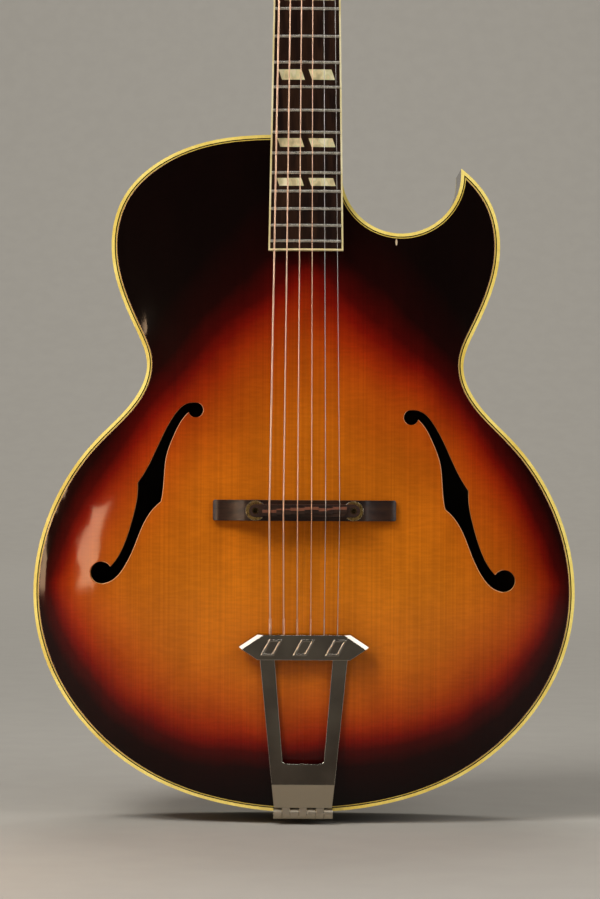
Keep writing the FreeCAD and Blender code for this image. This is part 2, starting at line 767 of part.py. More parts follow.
def inlay_pair(number, low, high):
    """Two leaning blocks between a fret and the one before it."""
    near = fret_at(number - 1)
    far = fret_at(number)
    middle = -(near + far) / 2
    half_height = (far - near) * INLAY_HEIGHT_SHARE / 2
    lean = half_height * math.tan(math.radians(INLAY_SLANT))
    outer = board_half((near + far) / 2) - INLAY_MARGIN
    pair = []
    for left, right in ((-outer, -INLAY_GAP / 2), (INLAY_GAP / 2, outer)):
        upper = ((left - lean, middle + half_height), (right - lean, middle + half_height))
        lower = ((right + lean, middle - half_height), (left + lean, middle - half_height))
        pair.append(plate((*upper, *lower), low, high))
    return pair


def neck_section(frame, y, half, depth, top):
    """Flat top with a half-elliptical back, as a closed wire across the neck."""
    left = V(-half, y, top)
    right = V(half, y, top)
    ellipse = Part.Ellipse(right, V(0, y, top - depth), V(0, y, top))
    back = Part.ArcOfEllipse(ellipse, 0, math.pi).toShape()
    return moved(Part.Wire([back, Part.makeLine(left, right)]), frame)


def heel_section(z, half, length):
    """Half-elliptical section across the heel, its flat side inside the body."""
    root = BODY_LENGTH - HEEL_ROOT
    ellipse_axes = (V(0, root + length, z), V(half, root, z))
    ellipse = Part.Ellipse(*ellipse_axes, V(0, root, z))
    nose = Part.ArcOfEllipse(ellipse, -math.pi / 2, math.pi / 2).toShape()
    return Part.Wire([nose, Part.makeLine(V(half, root, z), V(-half, root, z))])


def head_outline(low, high, start=0.0):
    half = HEAD_WIDTH / 2
    side = [(share * half, height * HEAD_LENGTH) for share, height in HEAD_SIDE]
    left = Part.BSplineCurve()
    left.interpolate([V(-x, y, low) for x, y in side])
    right = Part.BSplineCurve()
    right.interpolate([V(x, y, low) for x, y in side])
    (foot, foot_y), (tip, tip_y) = side[0], side[-1]
    crown = Part.Arc(V(-tip, tip_y, low), V(0, tip_y + HEAD_CROWN, low), V(tip, tip_y, low)).toShape()
    base = Part.makeLine(V(foot, foot_y, low), V(-foot, foot_y, low))
    outline = Part.Wire([left.toShape(), crown, right.toShape(), base])
    solid = Part.Face(outline).extrude(V(0, 0, high - low))
    return solid.common(block((-half, half), (start, 2 * HEAD_LENGTH), (low, high)))


def post_places():
    """Post axes in the head's plane: (side, x, y) from bass to treble."""
    bass = [(-1, FIRST_POST_X + k * POST_X_STEP, FIRST_POST + k * POST_PITCH) for k in range(3)]
    treble = [(1, x, y) for _, x, y in reversed(bass)]
    return bass + treble


def at_post(shape, side, x, y):
    """A tuner piece drawn for the treble side, set at a post of either side."""
    piece = shifted(shape, x=x, y=y)
    if side < 0:
        piece = piece.mirror(V(0, 0, 0), SPIN_X)
    return moved(piece, HEAD)


def ear_places():
    """Middles of a housing's two screw ears."""
    return (-HOUSING_BELOW - EAR_LENGTH / 2, HOUSING_ABOVE + EAR_LENGTH / 2)


def wood_screw(base, direction):
    profile = (
        (0, -SCREW_HEAD_HEIGHT),
        (SCREW_HEAD_RADIUS * SCREW_FLAT_SHARE, -SCREW_HEAD_HEIGHT),
        (SCREW_HEAD_RADIUS, 0),
        (SCREW_RADIUS, 0),
        (SCREW_RADIUS, SCREW_LENGTH),
        (0, SCREW_LENGTH + SCREW_RADIUS),
    )
    return turned_profile(profile, base, direction)


def cover_points(margin):
    half = TRUSS_POCKET_WIDTH / 2 + margin
    end = TRUSS_POCKET_LENGTH + margin
    treble = [(half, TRUSS_COVER_START), (half, end * 0.6), (half * 0.5, end)]
    return treble + [(-x, y) for x, y in reversed(treble)]


def head_screws():
    ears = [wood_screw(V(0, y, HEAD_BACK - EAR_THICKNESS), V(0, 0, 1)) for y in ear_places()]
    screws = [at_post(ear, *post) for post in post_places() for ear in ears]
    half = TRUSS_POCKET_WIDTH / 2 + TRUSS_COVER_MARGIN / 2
    for x in (-half, half):
        screw = wood_screw(V(x, TRUSS_POCKET_LENGTH / 3, TRUSS_COVER_THICKNESS), V(0, 0, -1))
        screws.append(moved(screw, HEAD))
    return Part.makeCompound(screws)


def truss_rod():
    middle = -TRUSS_ROD_DEPTH
    end = NUT_THICKNESS + TRUSS_NUT_FROM_NUT
    rod_end = end + TRUSS_NUT_LENGTH + TRUSS_NUT_SEAT
    bar = rod(V(0, TRUSS_ROD_START, middle), V(0, rod_end, middle), TRUSS_ROD_RADIUS)
    corners = [math.radians(60 * k) for k in range(6)]
    flats = [(TRUSS_NUT_RADIUS * math.cos(a), TRUSS_NUT_RADIUS * math.sin(a)) for a in corners]
    face = Part.Face(polygon([V(x, end, middle + z) for x, z in flats]))
    nut = face.extrude(V(0, TRUSS_NUT_LENGTH, 0)).cut(bar)
    return moved(bar, NECK), moved(nut, NECK)


def truss_channel():
    half = TRUSS_ROD_RADIUS + TRUSS_ROD_GAP
    span = (TRUSS_ROD_START - TRUSS_ROD_GAP, NUT_THICKNESS + TRUSS_NUT_FROM_NUT / 2)
    slot = block((-half, half), span, (-TRUSS_ROD_DEPTH, 0.0))
    floor = rod(V(0, span[0], -TRUSS_ROD_DEPTH), V(0, span[1], -TRUSS_ROD_DEPTH), half)
    roof = TRUSS_ROD_RADIUS + TRUSS_NUT_SEAT - TRUSS_ROD_DEPTH
    under_nut = block((-half, half), (-TRUSS_NUT_SEAT, span[1]), (roof, DEEP))
    return moved(slot.fuse(floor).cut(under_nut), NECK)


def truss_pocket():
    half = TRUSS_POCKET_WIDTH / 2
    depth = (-TRUSS_POCKET_DEPTH - VENEER_THICKNESS, 1)
    return moved(block((-half, half), (2 * TRUSS_COVER_START, TRUSS_POCKET_LENGTH), depth), HEAD)


def body_envelope():
    """The closed body, a hair larger, to shape what is glued against it."""
    low = -RIM_HEIGHT - PLATE_EDGE - 1
    return outline_prism(-JOINT_GAP, low, DEEP / 2).common(under(TOP_SURFACE, JOINT_GAP))


def build_neck():
    heel_reach = JOINT_REACH + HEEL_ROOT
    shaft = Part.makeLoft(
        [
            neck_section(NECK, NUT_THICKNESS, board_half(0), NECK_DEPTH_AT_NUT, 0),
            neck_section(NECK, -heel_reach, board_half(heel_reach), NECK_DEPTH_AT_HEEL, 0),
        ],
        True,
        True,
    )
    tongue_end = BOARD_LENGTH - TONGUE_INSET
    near = board_half(JOINT_REACH) - TONGUE_INSET
    far = board_half(tongue_end) - TONGUE_INSET
    corners = ((-near, -JOINT_REACH), (near, -JOINT_REACH), (far, -tongue_end), (-far, -tongue_end))
    tongue = moved(plate(corners, -TONGUE_DEPTH, 0), NECK)

    cap_top = -RIM_HEIGHT - PLATE_EDGE + HEEL_CAP_THICKNESS
    heel_stations = [heel_section(*station) for station in HEEL_SECTIONS]
    heel = Part.makeLoft([*heel_stations, heel_section(cap_top, *HEEL_FOOT)], True, False)
    cap = Part.Face(heel_section(cap_top, *HEEL_FOOT)).extrude(V(0, 0, -HEEL_CAP_THICKNESS))

    blend_half = HEAD_WIDTH / 2 * HEAD_SIDE[1][0]
    root_half = board_half(0) - BLEND_SINK
    root_depth = NECK_DEPTH_AT_NUT - BLEND_SINK
    blend = Part.makeLoft(
        [
            neck_section(NECK, 0, root_half, root_depth, -BLEND_SINK),
            neck_section(HEAD, HEAD_BLEND, blend_half, HEAD_THICKNESS, -VENEER_THICKNESS),
        ],
        True,
        True,
    )
    slab = moved(head_outline(HEAD_BACK, -VENEER_THICKNESS, HEAD_BLEND / 2), HEAD)
    envelope = body_envelope()
    screws = head_screws()
    bore = rod(V(0, 0, HEAD_BACK - 1), V(0, 0, 1), BUSHING_BODY_RADIUS)
    bores = [at_post(bore, *place) for place in post_places()]
    neck = joined([shaft, tongue, heel, blend, slab]).cut(envelope)
    neck = neck.fuse(tenon()).removeSplitter()
    board_space = moved(block((-DEEP, DEEP), (-BOARD_LENGTH * 2, NUT_THICKNESS), (0, DEEP)), NECK)
    veneer_space = block((-DEEP, DEEP), (VENEER_START, 2 * HEAD_LENGTH), (-VENEER_THICKNESS, DEEP))
    truss_space = [truss_channel(), truss_pocket()]
    neck = neck.cut([board_space, moved(veneer_space, HEAD), *truss_space, screws, *bores])
    write("neck", neck)
    write("heel_cap", cap.cut(envelope))

    write("truss_rod", *truss_rod())
    veneer = moved(head_outline(-VENEER_THICKNESS, 0, VENEER_START), HEAD)
    write("head_veneer", veneer.cut([truss_pocket(), screws, *bores]))
    cover = moved(plate(cover_points(TRUSS_COVER_MARGIN), 0, TRUSS_COVER_THICKNESS), HEAD)
    write("truss_rod_cover", cover.cut(screws))
    write("head_screws", screws)


def build_fingerboard():
    whole = board_blank(0)
    core = board_blank(BOARD_BINDING)
    numbers = range(1, FRETS + 1)
    slots = [fret_slot(number) for number in numbers]
    low = BOARD_THICKNESS - INLAY_DEPTH - board_half(BOARD_LENGTH) ** 2 / (2 * BOARD_RADIUS)
    blocks = [piece for number in INLAY_FRETS for piece in inlay_pair(number, low, BOARD_THICKNESS + 1)]
    write("inlays", moved(Part.makeCompound([piece.common(core) for piece in blocks]), NECK))
    write("frets", moved(Part.makeCompound([fret(number) for number in numbers]), NECK))
    write("fingerboard", moved(core.cut([*slots, *blocks]), NECK))
    write("fingerboard_binding", moved(whole.cut(board_blank(BOARD_BINDING)), NECK))


# Strings


def string_x(index, spread):
    return spread * (index / (len(STRING_DIAMETERS) - 1) - 0.5)


def nut_point(index):
    """Middle of a string over the nut's front face, in the neck's frame."""
    x = string_x(index, NUT_SPREAD)
    camber = x**2 / (2 * BOARD_RADIUS)
    return V(x, 0, BOARD_THICKNESS - camber + NUT_ACTION + STRING_DIAMETERS[index] / 2)


def saddle_point(index):
    """Middle of a string over its own crest on the saddle, on the bench."""
    radius = STRING_DIAMETERS[index] / 2
    return bridge_point(string_x(index, BRIDGE_SPREAD), SCALE + COMPENSATION[index], BRIDGE_RISE + radius)


def crest_frame():
    """Crest bar's own frame: X across, Y towards the bridge and Z out of the top."""
    share = (CREST_BAR_Y - HINGE_FROM_TAIL) / (BRIDGE_Y - HINGE_FROM_TAIL)
    line = HINGE_Z + share * (SADDLE_TOP.z - HINGE_Z)
    return FreeCAD.Placement(V(0, CREST_BAR_Y, line), FreeCAD.Rotation(SPIN_X, CREST_BAR_TILT))


CREST = crest_frame()


def ball_point(index):
    """Where a string's ball end rests behind the crest bar's upper wall."""
    y = CREST_BAR_HEIGHT / 2 - CREST_BAR_WALL - BALL_RADIUS - STRING_GAP
    return CREST.multVec(V(string_x(index, TAIL_SPREAD), y, 0))


def tail_string(index):
    radius = STRING_DIAMETERS[index] / 2
    start = ball_point(index)
    end = saddle_point(index)
    along = (end - start).normalize()
    wire = rod(start, end - along * SADDLE_END_GAP, radius)
    twist = rod(start, start + along * (BALL_RADIUS + CREST_BAR_WALL + TWIST_LENGTH), radius * TWIST_SHARE)
    ball = rod(start - V(BALL_LENGTH / 2, 0, 0), start + V(BALL_LENGTH / 2, 0, 0), BALL_RADIUS)
    return wire.fuse([twist, ball])


def biarc(start, start_way, end, end_way):
    """Two arcs that leave start and reach end along the given directions."""
    chord = end - start
    ways = start_way + end_way
    bend = 2 * (1 - start_way.dot(end_way))
    across = chord.dot(ways)
    arm = (-across + math.sqrt(across**2 + bend * chord.dot(chord))) / bend
    first = start + start_way * arm
    last = end - end_way * arm
    meet = (first + last) * 0.5
    return [shoulder_arc(start, first, meet), shoulder_arc(meet, last, end)]


def shoulder_arc(start, corner, end):
    """Arc from start to end that is tangent to both legs of their corner."""
    middle = (start + end) * 0.5
    half_chord = (end - start).Length / 2
    turn = (corner - start).getAngle(end - start)
    outwards = (corner - middle).normalize()
    return Part.Arc(start, middle + outwards * (half_chord * math.tan(turn / 2)), end).toShape()


def leave_nut(index):
    """Where a string leaves the nut, and the bearing where it meets its post, in the head's frame.

    The bass side is drawn as if it were the treble side.
    """
    side, post_x, post_y = post_places()[index]
    over_nut = HEAD.inverse().multVec(NECK.multVec(nut_point(index) + V(0, STRING_GAP, 0)))
    start = V(side * over_nut.x, over_nut.y, over_nut.z)
    gap = V(post_x - start.x, post_y - start.y, 0)
    lean = math.acos(winding_radius(index) / gap.Length)
    return start, math.atan2(gap.y, gap.x) + math.pi - lean


def winding_radius(index):
    return POST_RADIUS + WINDING_CLEARANCE + STRING_DIAMETERS[index] / 2


def round_post(index, angle, height):
    """Point on the middle of a string wound on its post."""
    _, post_x, post_y = post_places()[index]
    radius = winding_radius(index)
    return V(post_x + radius * math.cos(angle), post_y + radius * math.sin(angle), height)


def wound_end(index):
    """String from the nut to its post and round it, in the head's frame of the treble side."""
    radius = STRING_DIAMETERS[index] / 2
    turn_radius = winding_radius(index)
    pitch = 2 * radius + WINDING_GAP
    start, touch = leave_nut(index)

    def station(quarter):
        """Point and direction on the winding, clockwise and climbing, a quarter turn at a time."""
        angle = touch - quarter * math.pi / 2
        climb = pitch / (2 * math.pi)
        height = WINDING_START + pitch * quarter / 4
        point = round_post(index, angle, height)
        return point, V(turn_radius * math.sin(angle), -turn_radius * math.cos(angle), climb).normalize()

    quarters = int(4 * WINDING_TURNS[index])
    points = [station(quarter) for quarter in range(quarters + 1)]
    leave = (points[0][0] - start).normalize()
    points[0] = (points[0][0], leave)
    edges = [Part.makeLine(start, points[0][0])]
    for (near, near_way), (far, far_way) in zip(points, points[1:]):
        edges += biarc(near, near_way, far, far_way)
    profile = Part.Wire(Part.Circle(start, leave, radius).toShape())
    tube = Part.Wire(edges).makePipeShell([profile], True, False)
    turns = [point for edge in edges[1:] for point in edge.discretize(ARC_POINTS)]
    return tube, least_turn_gap(turns, 2 * radius)


def least_turn_gap(points, width):
    """Smallest clear distance between points of a winding that are half a turn or more apart."""
    half_turn = 4 * ARC_POINTS
    pairs = ((a, b) for i, a in enumerate(points) for b in points[i + half_turn :])
    return min((a - b).Length for a, b in pairs) - width


def nut_slot(index):
    """Open slot across the nut that runs with its string towards the post."""
    side = post_places()[index][0]
    half = STRING_DIAMETERS[index] / 2 + STRING_GAP
    start, touch = leave_nut(index)
    along = (round_post(index, touch, WINDING_START) - start).normalize()
    run = along * (2 * NUT_THICKNESS)
    first = start - along * (NUT_THICKNESS / 2)
    corners = ((-half, -half), (half, -half), (half, NUT_THICKNESS), (-half, NUT_THICKNESS))
    slot = Part.Face(polygon([first + V(x, 0, z) for x, z in corners])).extrude(run)
    if side < 0:
        slot = slot.mirror(V(0, 0, 0), SPIN_X)
    return moved(slot, HEAD)


def build_nut():
    half = NUT_WIDTH / 2
    blank = block((-half, half), (0, NUT_THICKNESS), (0, BOARD_THICKNESS + NUT_OVER_BOARD))
    axis = V(0, 0, BOARD_THICKNESS - BOARD_RADIUS)
    blank = blank.common(rod(axis, axis + V(0, NUT_THICKNESS, 0), BOARD_RADIUS + NUT_OVER_BOARD))
    slots = [nut_slot(index) for index in range(len(STRING_DIAMETERS))]
    write("nut", moved(blank, NECK).cut(slots))


def build_strings():
    count = len(STRING_DIAMETERS)
    speaking = []
    for index in range(count):
        start = NECK.multVec(nut_point(index))
        end = saddle_point(index)
        along = (end - start).normalize()
        run = (start + along * STRING_GAP, end - along * SADDLE_END_GAP)
        speaking.append(rod(*run, STRING_DIAMETERS[index] / 2))
    write("strings_speaking", *speaking)
    write("strings_tail", *[tail_string(index) for index in range(count)])
    ends = []
    for index, (side, _, _) in enumerate(post_places()):
        tube, clear = wound_end(index)
        if side < 0:
            tube = tube.mirror(V(0, 0, 0), SPIN_X)
        ends.append(moved(tube, HEAD))
        print(f"winding {index + 1}: least gap {clear:.2f} mm")
    write("strings_head", *ends)


# Tuners


def tooth_half(radius, pitch_radius):
    """Half thickness of a tooth or thread at a radius, thinner towards its tip."""
    slope = math.tan(math.radians(TOOTH_FLANK))
    return TOOTH_SHARE * TOOTH_PITCH / 2 - (radius - pitch_radius) * slope


def gear_outline(z, turn):
    root = GEAR_PITCH_RADIUS - TOOTH_DEDENDUM
    tip = GEAR_PITCH_RADIUS + TOOTH_ADDENDUM
    root_angle = tooth_half(root, GEAR_PITCH_RADIUS) / root
    tip_angle = tooth_half(tip, GEAR_PITCH_RADIUS) / tip
    points = []
    for tooth in range(GEAR_TEETH):
        middle = math.pi / 2 + turn + 2 * math.pi * (tooth + 0.5) / GEAR_TEETH
        for radius, angle in ((root, -root_angle), (tip, -tip_angle), (tip, tip_angle), (root, root_angle)):
            points.append(V(radius * math.cos(middle + angle), radius * math.sin(middle + angle), z))
    return polygon(points)


def worm_wheel():
    """Wheel with teeth that lean with the worm's thread, a tooth space facing the worm."""
    half = GEAR_THICKNESS / 2
    lead_slope = TOOTH_PITCH / (2 * math.pi * WORM_PITCH_RADIUS)
    lean = half * lead_slope / GEAR_PITCH_RADIUS
    rims = [gear_outline(GEAR_LEVEL - half, -lean), gear_outline(GEAR_LEVEL + half, lean)]
    wheel = Part.makeLoft(rims, True, True)
    return wheel.cut(rod(V(0, 0, HEAD_BACK - HOUSING_HEIGHT), V(0, 0, HEAD_BACK), POST_SPIGOT_RADIUS))


def string_post():
    wheel_top = GEAR_LEVEL + GEAR_THICKNESS / 2
    spigot_end = HEAD_BACK - HOUSING_HEIGHT - POST_SPIGOT_PROUD
    low, high = POST_WAIST
    slope = POST_RADIUS - POST_WAIST_RADIUS
    profile = (
        (0, spigot_end),
        (POST_SPIGOT_RADIUS, spigot_end),
        (POST_SPIGOT_RADIUS, wheel_top),
        (POST_RADIUS, wheel_top),
        (POST_RADIUS, low),
        (POST_WAIST_RADIUS, low + slope),
        (POST_WAIST_RADIUS, high - slope),
        (POST_RADIUS, high),
        (POST_RADIUS, POST_HEIGHT - EDGE_BEVEL),
        (POST_RADIUS - EDGE_BEVEL, POST_HEIGHT),
        (0, POST_HEIGHT),
    )
    post = turned_profile(profile, V(0, 0, 0), V(0, 0, 1))
    across = V(2 * POST_RADIUS, 0, 0)
    hole = V(0, 0, POST_HOLE_HEIGHT)
    return post.cut(rod(hole - across, hole + across, POST_HOLE_RADIUS))


def worm_shaft():
    """Shaft along X with a right-hand thread, one crest facing the wheel."""
    axis = V(0, WORM_CENTRE, GEAR_LEVEL)
    inner_end = V(-HOUSING_WIDTH / 2, 0, 0)
    core = rod(axis + inner_end, axis + V(BUTTON_FROM_POST + BUTTON_COLLAR_LENGTH, 0, 0), SHAFT_RADIUS)
    tip = WORM_PITCH_RADIUS + TOOTH_ADDENDUM
    root = SHAFT_RADIUS - THREAD_SINK
    root_half = tooth_half(root, WORM_PITCH_RADIUS)
    tip_half = tooth_half(tip, WORM_PITCH_RADIUS)
    half_profile = ((root, root_half), (tip, tip_half))
    mirrored = [(radius, -half) for radius, half in reversed(half_profile)]
    profile = polygon([V(radius, 0, half) for radius, half in (*half_profile, *mirrored)])
    length = WORM_TURNS * TOOTH_PITCH
    helix = Part.Wire(Part.makeHelix(TOOTH_PITCH, length, WORM_PITCH_RADIUS).Edges)
    thread = helix.makePipeShell([profile], True, True)
    thread = shifted(thread, z=-length / 2)
    thread = moved(thread, FreeCAD.Placement(V(0, 0, 0), FreeCAD.Rotation(V(0, 0, 1), SPIN_X)))
    thread.rotate(V(0, 0, 0), SPIN_X, -90 - 180 * WORM_TURNS)
    return core.fuse(shifted(thread, y=axis.y, z=axis.z))


def button():
    inner = BUTTON_FROM_POST
    axis = V(0, WORM_CENTRE, GEAR_LEVEL)
    collar_end = V(inner + BUTTON_COLLAR_LENGTH + 1, 0, 0)
    collar = rod(axis + V(inner, 0, 0), axis + collar_end, BUTTON_COLLAR_RADIUS)
    middle = axis + V(inner + BUTTON_COLLAR_LENGTH + BUTTON_LENGTH / 2, 0, -BUTTON_THICKNESS / 2)
    oval = Part.Ellipse(middle + V(0, BUTTON_WIDTH / 2, 0), middle + V(BUTTON_LENGTH / 2, 0, 0), middle)
    paddle = Part.Face(Part.Wire(oval.toShape())).extrude(V(0, 0, BUTTON_THICKNESS))
    paddle = paddle.makeFillet(BUTTON_ROUND, paddle.Edges)
    return collar.fuse(paddle).cut(rod(axis, axis + V(inner + BUTTON_COLLAR_LENGTH, 0, 0), SHAFT_RADIUS))


def housing():
    half = HOUSING_WIDTH / 2
    low = HEAD_BACK - HOUSING_HEIGHT
    shell = block((-half, half), (-HOUSING_BELOW, HOUSING_ABOVE), (low, HEAD_BACK))
    rounded = [edge for edge in shell.Edges if edge.BoundBox.ZMin < HEAD_BACK - HOUSING_ROUND]
    shell = shell.makeFillet(HOUSING_ROUND, rounded)
    wall = HOUSING_WALL
    room_span = (wall - HOUSING_BELOW, HOUSING_ABOVE - wall)
    room = block((wall - half, half - wall), room_span, (low + wall, HEAD_BACK))
    ear_span = (-HOUSING_BELOW - EAR_LENGTH, HOUSING_ABOVE + EAR_LENGTH)
    ears = block((-EAR_WIDTH / 2, EAR_WIDTH / 2), ear_span, (HEAD_BACK - EAR_THICKNESS, HEAD_BACK))
    screws = [wood_screw(V(0, y, HEAD_BACK - EAR_THICKNESS), V(0, 0, 1)) for y in ear_places()]
    axis = V(0, WORM_CENTRE, GEAR_LEVEL)
    side_bore = rod(axis - V(DEEP, 0, 0), axis + V(DEEP, 0, 0), SHAFT_RADIUS + RUNNING_GAP)
    end_bore = rod(V(0, 0, low - 1), V(0, 0, low + wall + 1), POST_SPIGOT_RADIUS + RUNNING_GAP)
    return shell.fuse(ears).cut([room, side_bore, end_bore, *screws])


def bushing():
    bore = POST_RADIUS + RUNNING_GAP
    profile = (
        (bore, -BUSHING_DEPTH),
        (BUSHING_BODY_RADIUS, -BUSHING_DEPTH),
        (BUSHING_BODY_RADIUS, 0),
        (BUSHING_RADIUS, 0),
        (BUSHING_RADIUS, BUSHING_HEIGHT - EDGE_BEVEL),
        (BUSHING_RADIUS - EDGE_BEVEL, BUSHING_HEIGHT),
        (bore, BUSHING_HEIGHT),
    )
    return turned_profile(profile, V(0, 0, 0), V(0, 0, 1))


def build_tuners():
    posts = post_places()
    post = Part.makeCompound([string_post(), worm_wheel()])
    shaft = worm_shaft()
    key = button()
    write("tuner_housings", *[at_post(housing(), *place) for place in posts])
    write("tuner_bushings", *[at_post(bushing(), *place) for place in posts])
    for number, place in enumerate(posts, 1):
        write(f"string_post_{number}", at_post(post, *place))
        write(f"tuner_shaft_{number}", at_post(shaft, *place))
        write(f"tuner_button_{number}", at_post(key, *place))
        side, x, y = place
        turn = HEAD.Rotation
        tell(f"string_post_{number}", HEAD.multVec(V(side * x, y, 0)), turn.multVec(V(0, 0, 1)))
        worm = HEAD.multVec(V(side * x, y + WORM_CENTRE, GEAR_LEVEL))
        tell(f"tuner_{number}", worm, turn.multVec(V(side, 0, 0)))


# Bridge


def stadium(length, width, low, high):
    """Bar along X with round ends."""
    straight = length / 2 - width / 2
    bar = block((-straight, straight), (BRIDGE_Y - width / 2, BRIDGE_Y + width / 2), (low, high))
    ends = [Part.makeCylinder(width / 2, high - low, V(x, BRIDGE_Y, low)) for x in (-straight, straight)]
    return joined([bar, *ends])


def saddle_crest(index):
    """Roof-shaped step under one string, its ridge set back for that string."""
    x = string_x(index, BRIDGE_SPREAD)
    half_pitch = BRIDGE_SPREAD / (len(STRING_DIAMETERS) - 1) / 2
    ridge = saddle_point(index) - V(0, 0, STRING_DIAMETERS[index] / 2 + STRING_GAP)
    half = CREST_WIDTH / 2
    eaves = ridge.z - half * math.tan(math.radians(CREST_SLOPE))
    floor = SADDLE_Z + SADDLE_EAR_HEIGHT
    side_view = (
        (ridge.y - half, floor),
        (ridge.y - half, eaves),
        (ridge.y, ridge.z),
        (ridge.y + half, eaves),
        (ridge.y + half, floor),
    )
    face = Part.Face(polygon([V(x - half_pitch, y, z) for y, z in side_view]))
    return face.extrude(V(2 * half_pitch, 0, 0))


def base_end(side, low):
    """Edges of one end of the bridge base, seen from the tail: a coved wing, a sloping tip and the end."""
    half = BASE_LENGTH / 2
    deck = half - BASE_WING
    wing = BASE_TOP - BASE_WING_DROP
    cove_end = half - BASE_END_ROUND
    reach = cove_end - deck
    radius = (reach**2 + BASE_WING_DROP**2) / (2 * BASE_WING_DROP)
    middle = math.asin(reach / radius) / 2
    hollow = V(side * (cove_end - radius * math.sin(middle)), 0, wing + radius * (1 - math.cos(middle)))
    top = V(side * deck, 0, BASE_TOP)
    out = V(side * cove_end, 0, wing)
    tip = V(side * half, 0, BASE_TOP - BASE_END_DROP)
    foot = V(side * half, 0, low)
    return [Part.Arc(top, hollow, out).toShape(), Part.makeLine(out, tip), Part.makeLine(tip, foot)]


def bridge_base():
    half = BASE_LENGTH / 2
    deck = half - BASE_WING
    low = 0.0
    across_bridge = (BRIDGE_Y - BASE_WIDTH / 2, BRIDGE_Y + BASE_WIDTH / 2)
    top = Part.makeLine(V(-deck, 0, BASE_TOP), V(deck, 0, BASE_TOP))
    foot = Part.makeLine(V(-half, 0, low), V(half, 0, low))
    edges = [top, foot, *base_end(-1, low), *base_end(1, low)]
    side_view = Part.Face(Part.Wire(Part.__sortEdges__(edges)))
    body = shifted(side_view.extrude(V(0, BASE_WIDTH, 0)), y=across_bridge[0])
    plan = block((-half, half), across_bridge, (low, BASE_TOP + 1))
    plan = plan.makeFillet(BASE_CORNER, [edge for edge in plan.Edges if edge.BoundBox.ZLength > 1])
    relief_top = top_height(0, BRIDGE_Y) + BASE_FOOT_RELIEF
    across = (-BASE_FOOT_GAP / 2, BASE_FOOT_GAP / 2)
    relief = block(across, (BRIDGE_Y - BASE_WIDTH, BRIDGE_Y + BASE_WIDTH), (low, relief_top))
    return body.common(plan).cut([under(TOP_SURFACE, JOINT_GAP), relief])


def thumbwheel(x):
    points = []
    for k in range(2 * WHEEL_NOTCHES):
        angle = math.pi * k / WHEEL_NOTCHES
        radius = WHEEL_RADIUS - WHEEL_NOTCH_DEPTH * (k % 2)
        points.append((x + radius * math.cos(angle), BRIDGE_Y + radius * math.sin(angle)))
    disc = plate(points, WHEEL_Z, WHEEL_Z + WHEEL_THICKNESS)
    return disc.cut(Part.makeCylinder(BRIDGE_POST_RADIUS + RUNNING_GAP, DEEP, V(x, BRIDGE_Y, 0)))


def build_bridge():
    half = POST_SPACING / 2
    post_low = BASE_TOP - BRIDGE_POST_DEPTH
    post_length = SADDLE_Z + SADDLE_EAR_HEIGHT - BRIDGE_POST_SHORT - post_low
    feet = [V(x, BRIDGE_Y, post_low) for x in (-half, half)]
    posts = [Part.makeCylinder(BRIDGE_POST_RADIUS, post_length, foot) for foot in feet]
    write("bridge_posts", *posts)
    write("bridge_base", bridge_base().cut(posts))
    bar = stadium(SADDLE_LENGTH, SADDLE_WIDTH, SADDLE_Z, SADDLE_Z + SADDLE_EAR_HEIGHT)
    body = stadium(SADDLE_BODY_LENGTH, SADDLE_BODY_WIDTH, SADDLE_Z, SADDLE_Z + SADDLE_BODY_HEIGHT)
    crests = [saddle_crest(index) for index in range(len(STRING_DIAMETERS))]
    holes = [Part.makeCylinder(SADDLE_HOLE_RADIUS, DEEP, V(x, BRIDGE_Y, 0)) for x in (-half, half)]
    write("bridge_saddle", joined([bar, body, *crests]).cut(holes))
    write("thumbwheel_bass", thumbwheel(-half))
    write("thumbwheel_treble", thumbwheel(half))
    tell("thumbwheel_bass", V(-half, BRIDGE_Y, WHEEL_Z), V(0, 0, 1))
    tell("thumbwheel_treble", V(half, BRIDGE_Y, WHEEL_Z), V(0, 0, 1))
    tell("saddle_top", SADDLE_TOP, V(0, 0, 1))


# Tailpiece


def knuckle(number, clearance):
    """One barrel of the hinge, counted from the bass side."""
    pitch = HINGE_WIDTH / HINGE_KNUCKLES
    left = -HINGE_WIDTH / 2 + number * pitch + clearance / 2
    right = left + pitch - clearance
    return hinge_rod(left, right, HINGE_RADIUS), left, right


def hinge_rod(left, right, radius):
    return rod(V(left, HINGE_FROM_TAIL, HINGE_Z), V(right, HINGE_FROM_TAIL, HINGE_Z), radius)


def hinge_bore(margin):
    return hinge_rod(-HINGE_WIDTH, HINGE_WIDTH, HINGE_PIN_RADIUS + margin)


def crest_bar():
    """Hexagonal bar, hollow behind, with three raised leaning frames on its face."""
    half = CREST_BAR_WIDTH / 2
    edge = CREST_BAR_EDGE / 2
    high = CREST_BAR_HEIGHT / 2
    front = CREST_BAR_THICKNESS / 2
    outline = ((-half, 0), (-edge, high), (edge, high), (half, 0), (edge, -high), (-edge, -high))
    bar = plate(outline, -front, front)
    front_edges = [e for e in bar.Edges if e.BoundBox.ZMin > front - EDGE_BEVEL]
    upper_slants = [e for e in front_edges if e.BoundBox.YLength > high / 2 and e.BoundBox.YMax > high / 2]
    bar = bar.makeChamfer(CREST_BAR_BEVEL, upper_slants)
    raised = [leaning_frame(x, front) for x in FRAME_LINES]
    room_half = TAIL_SPREAD / 2 + BALL_LENGTH
    wall = CREST_BAR_WALL
    room_span = (CREST_ARM_LAP + wall - high, high - wall)
    room = block((-room_half, room_half), room_span, (-front, front - CREST_BAR_FACE))
    bar = joined([bar, *raised]).cut(room)
    return moved(bar, CREST).cut(string_passages())


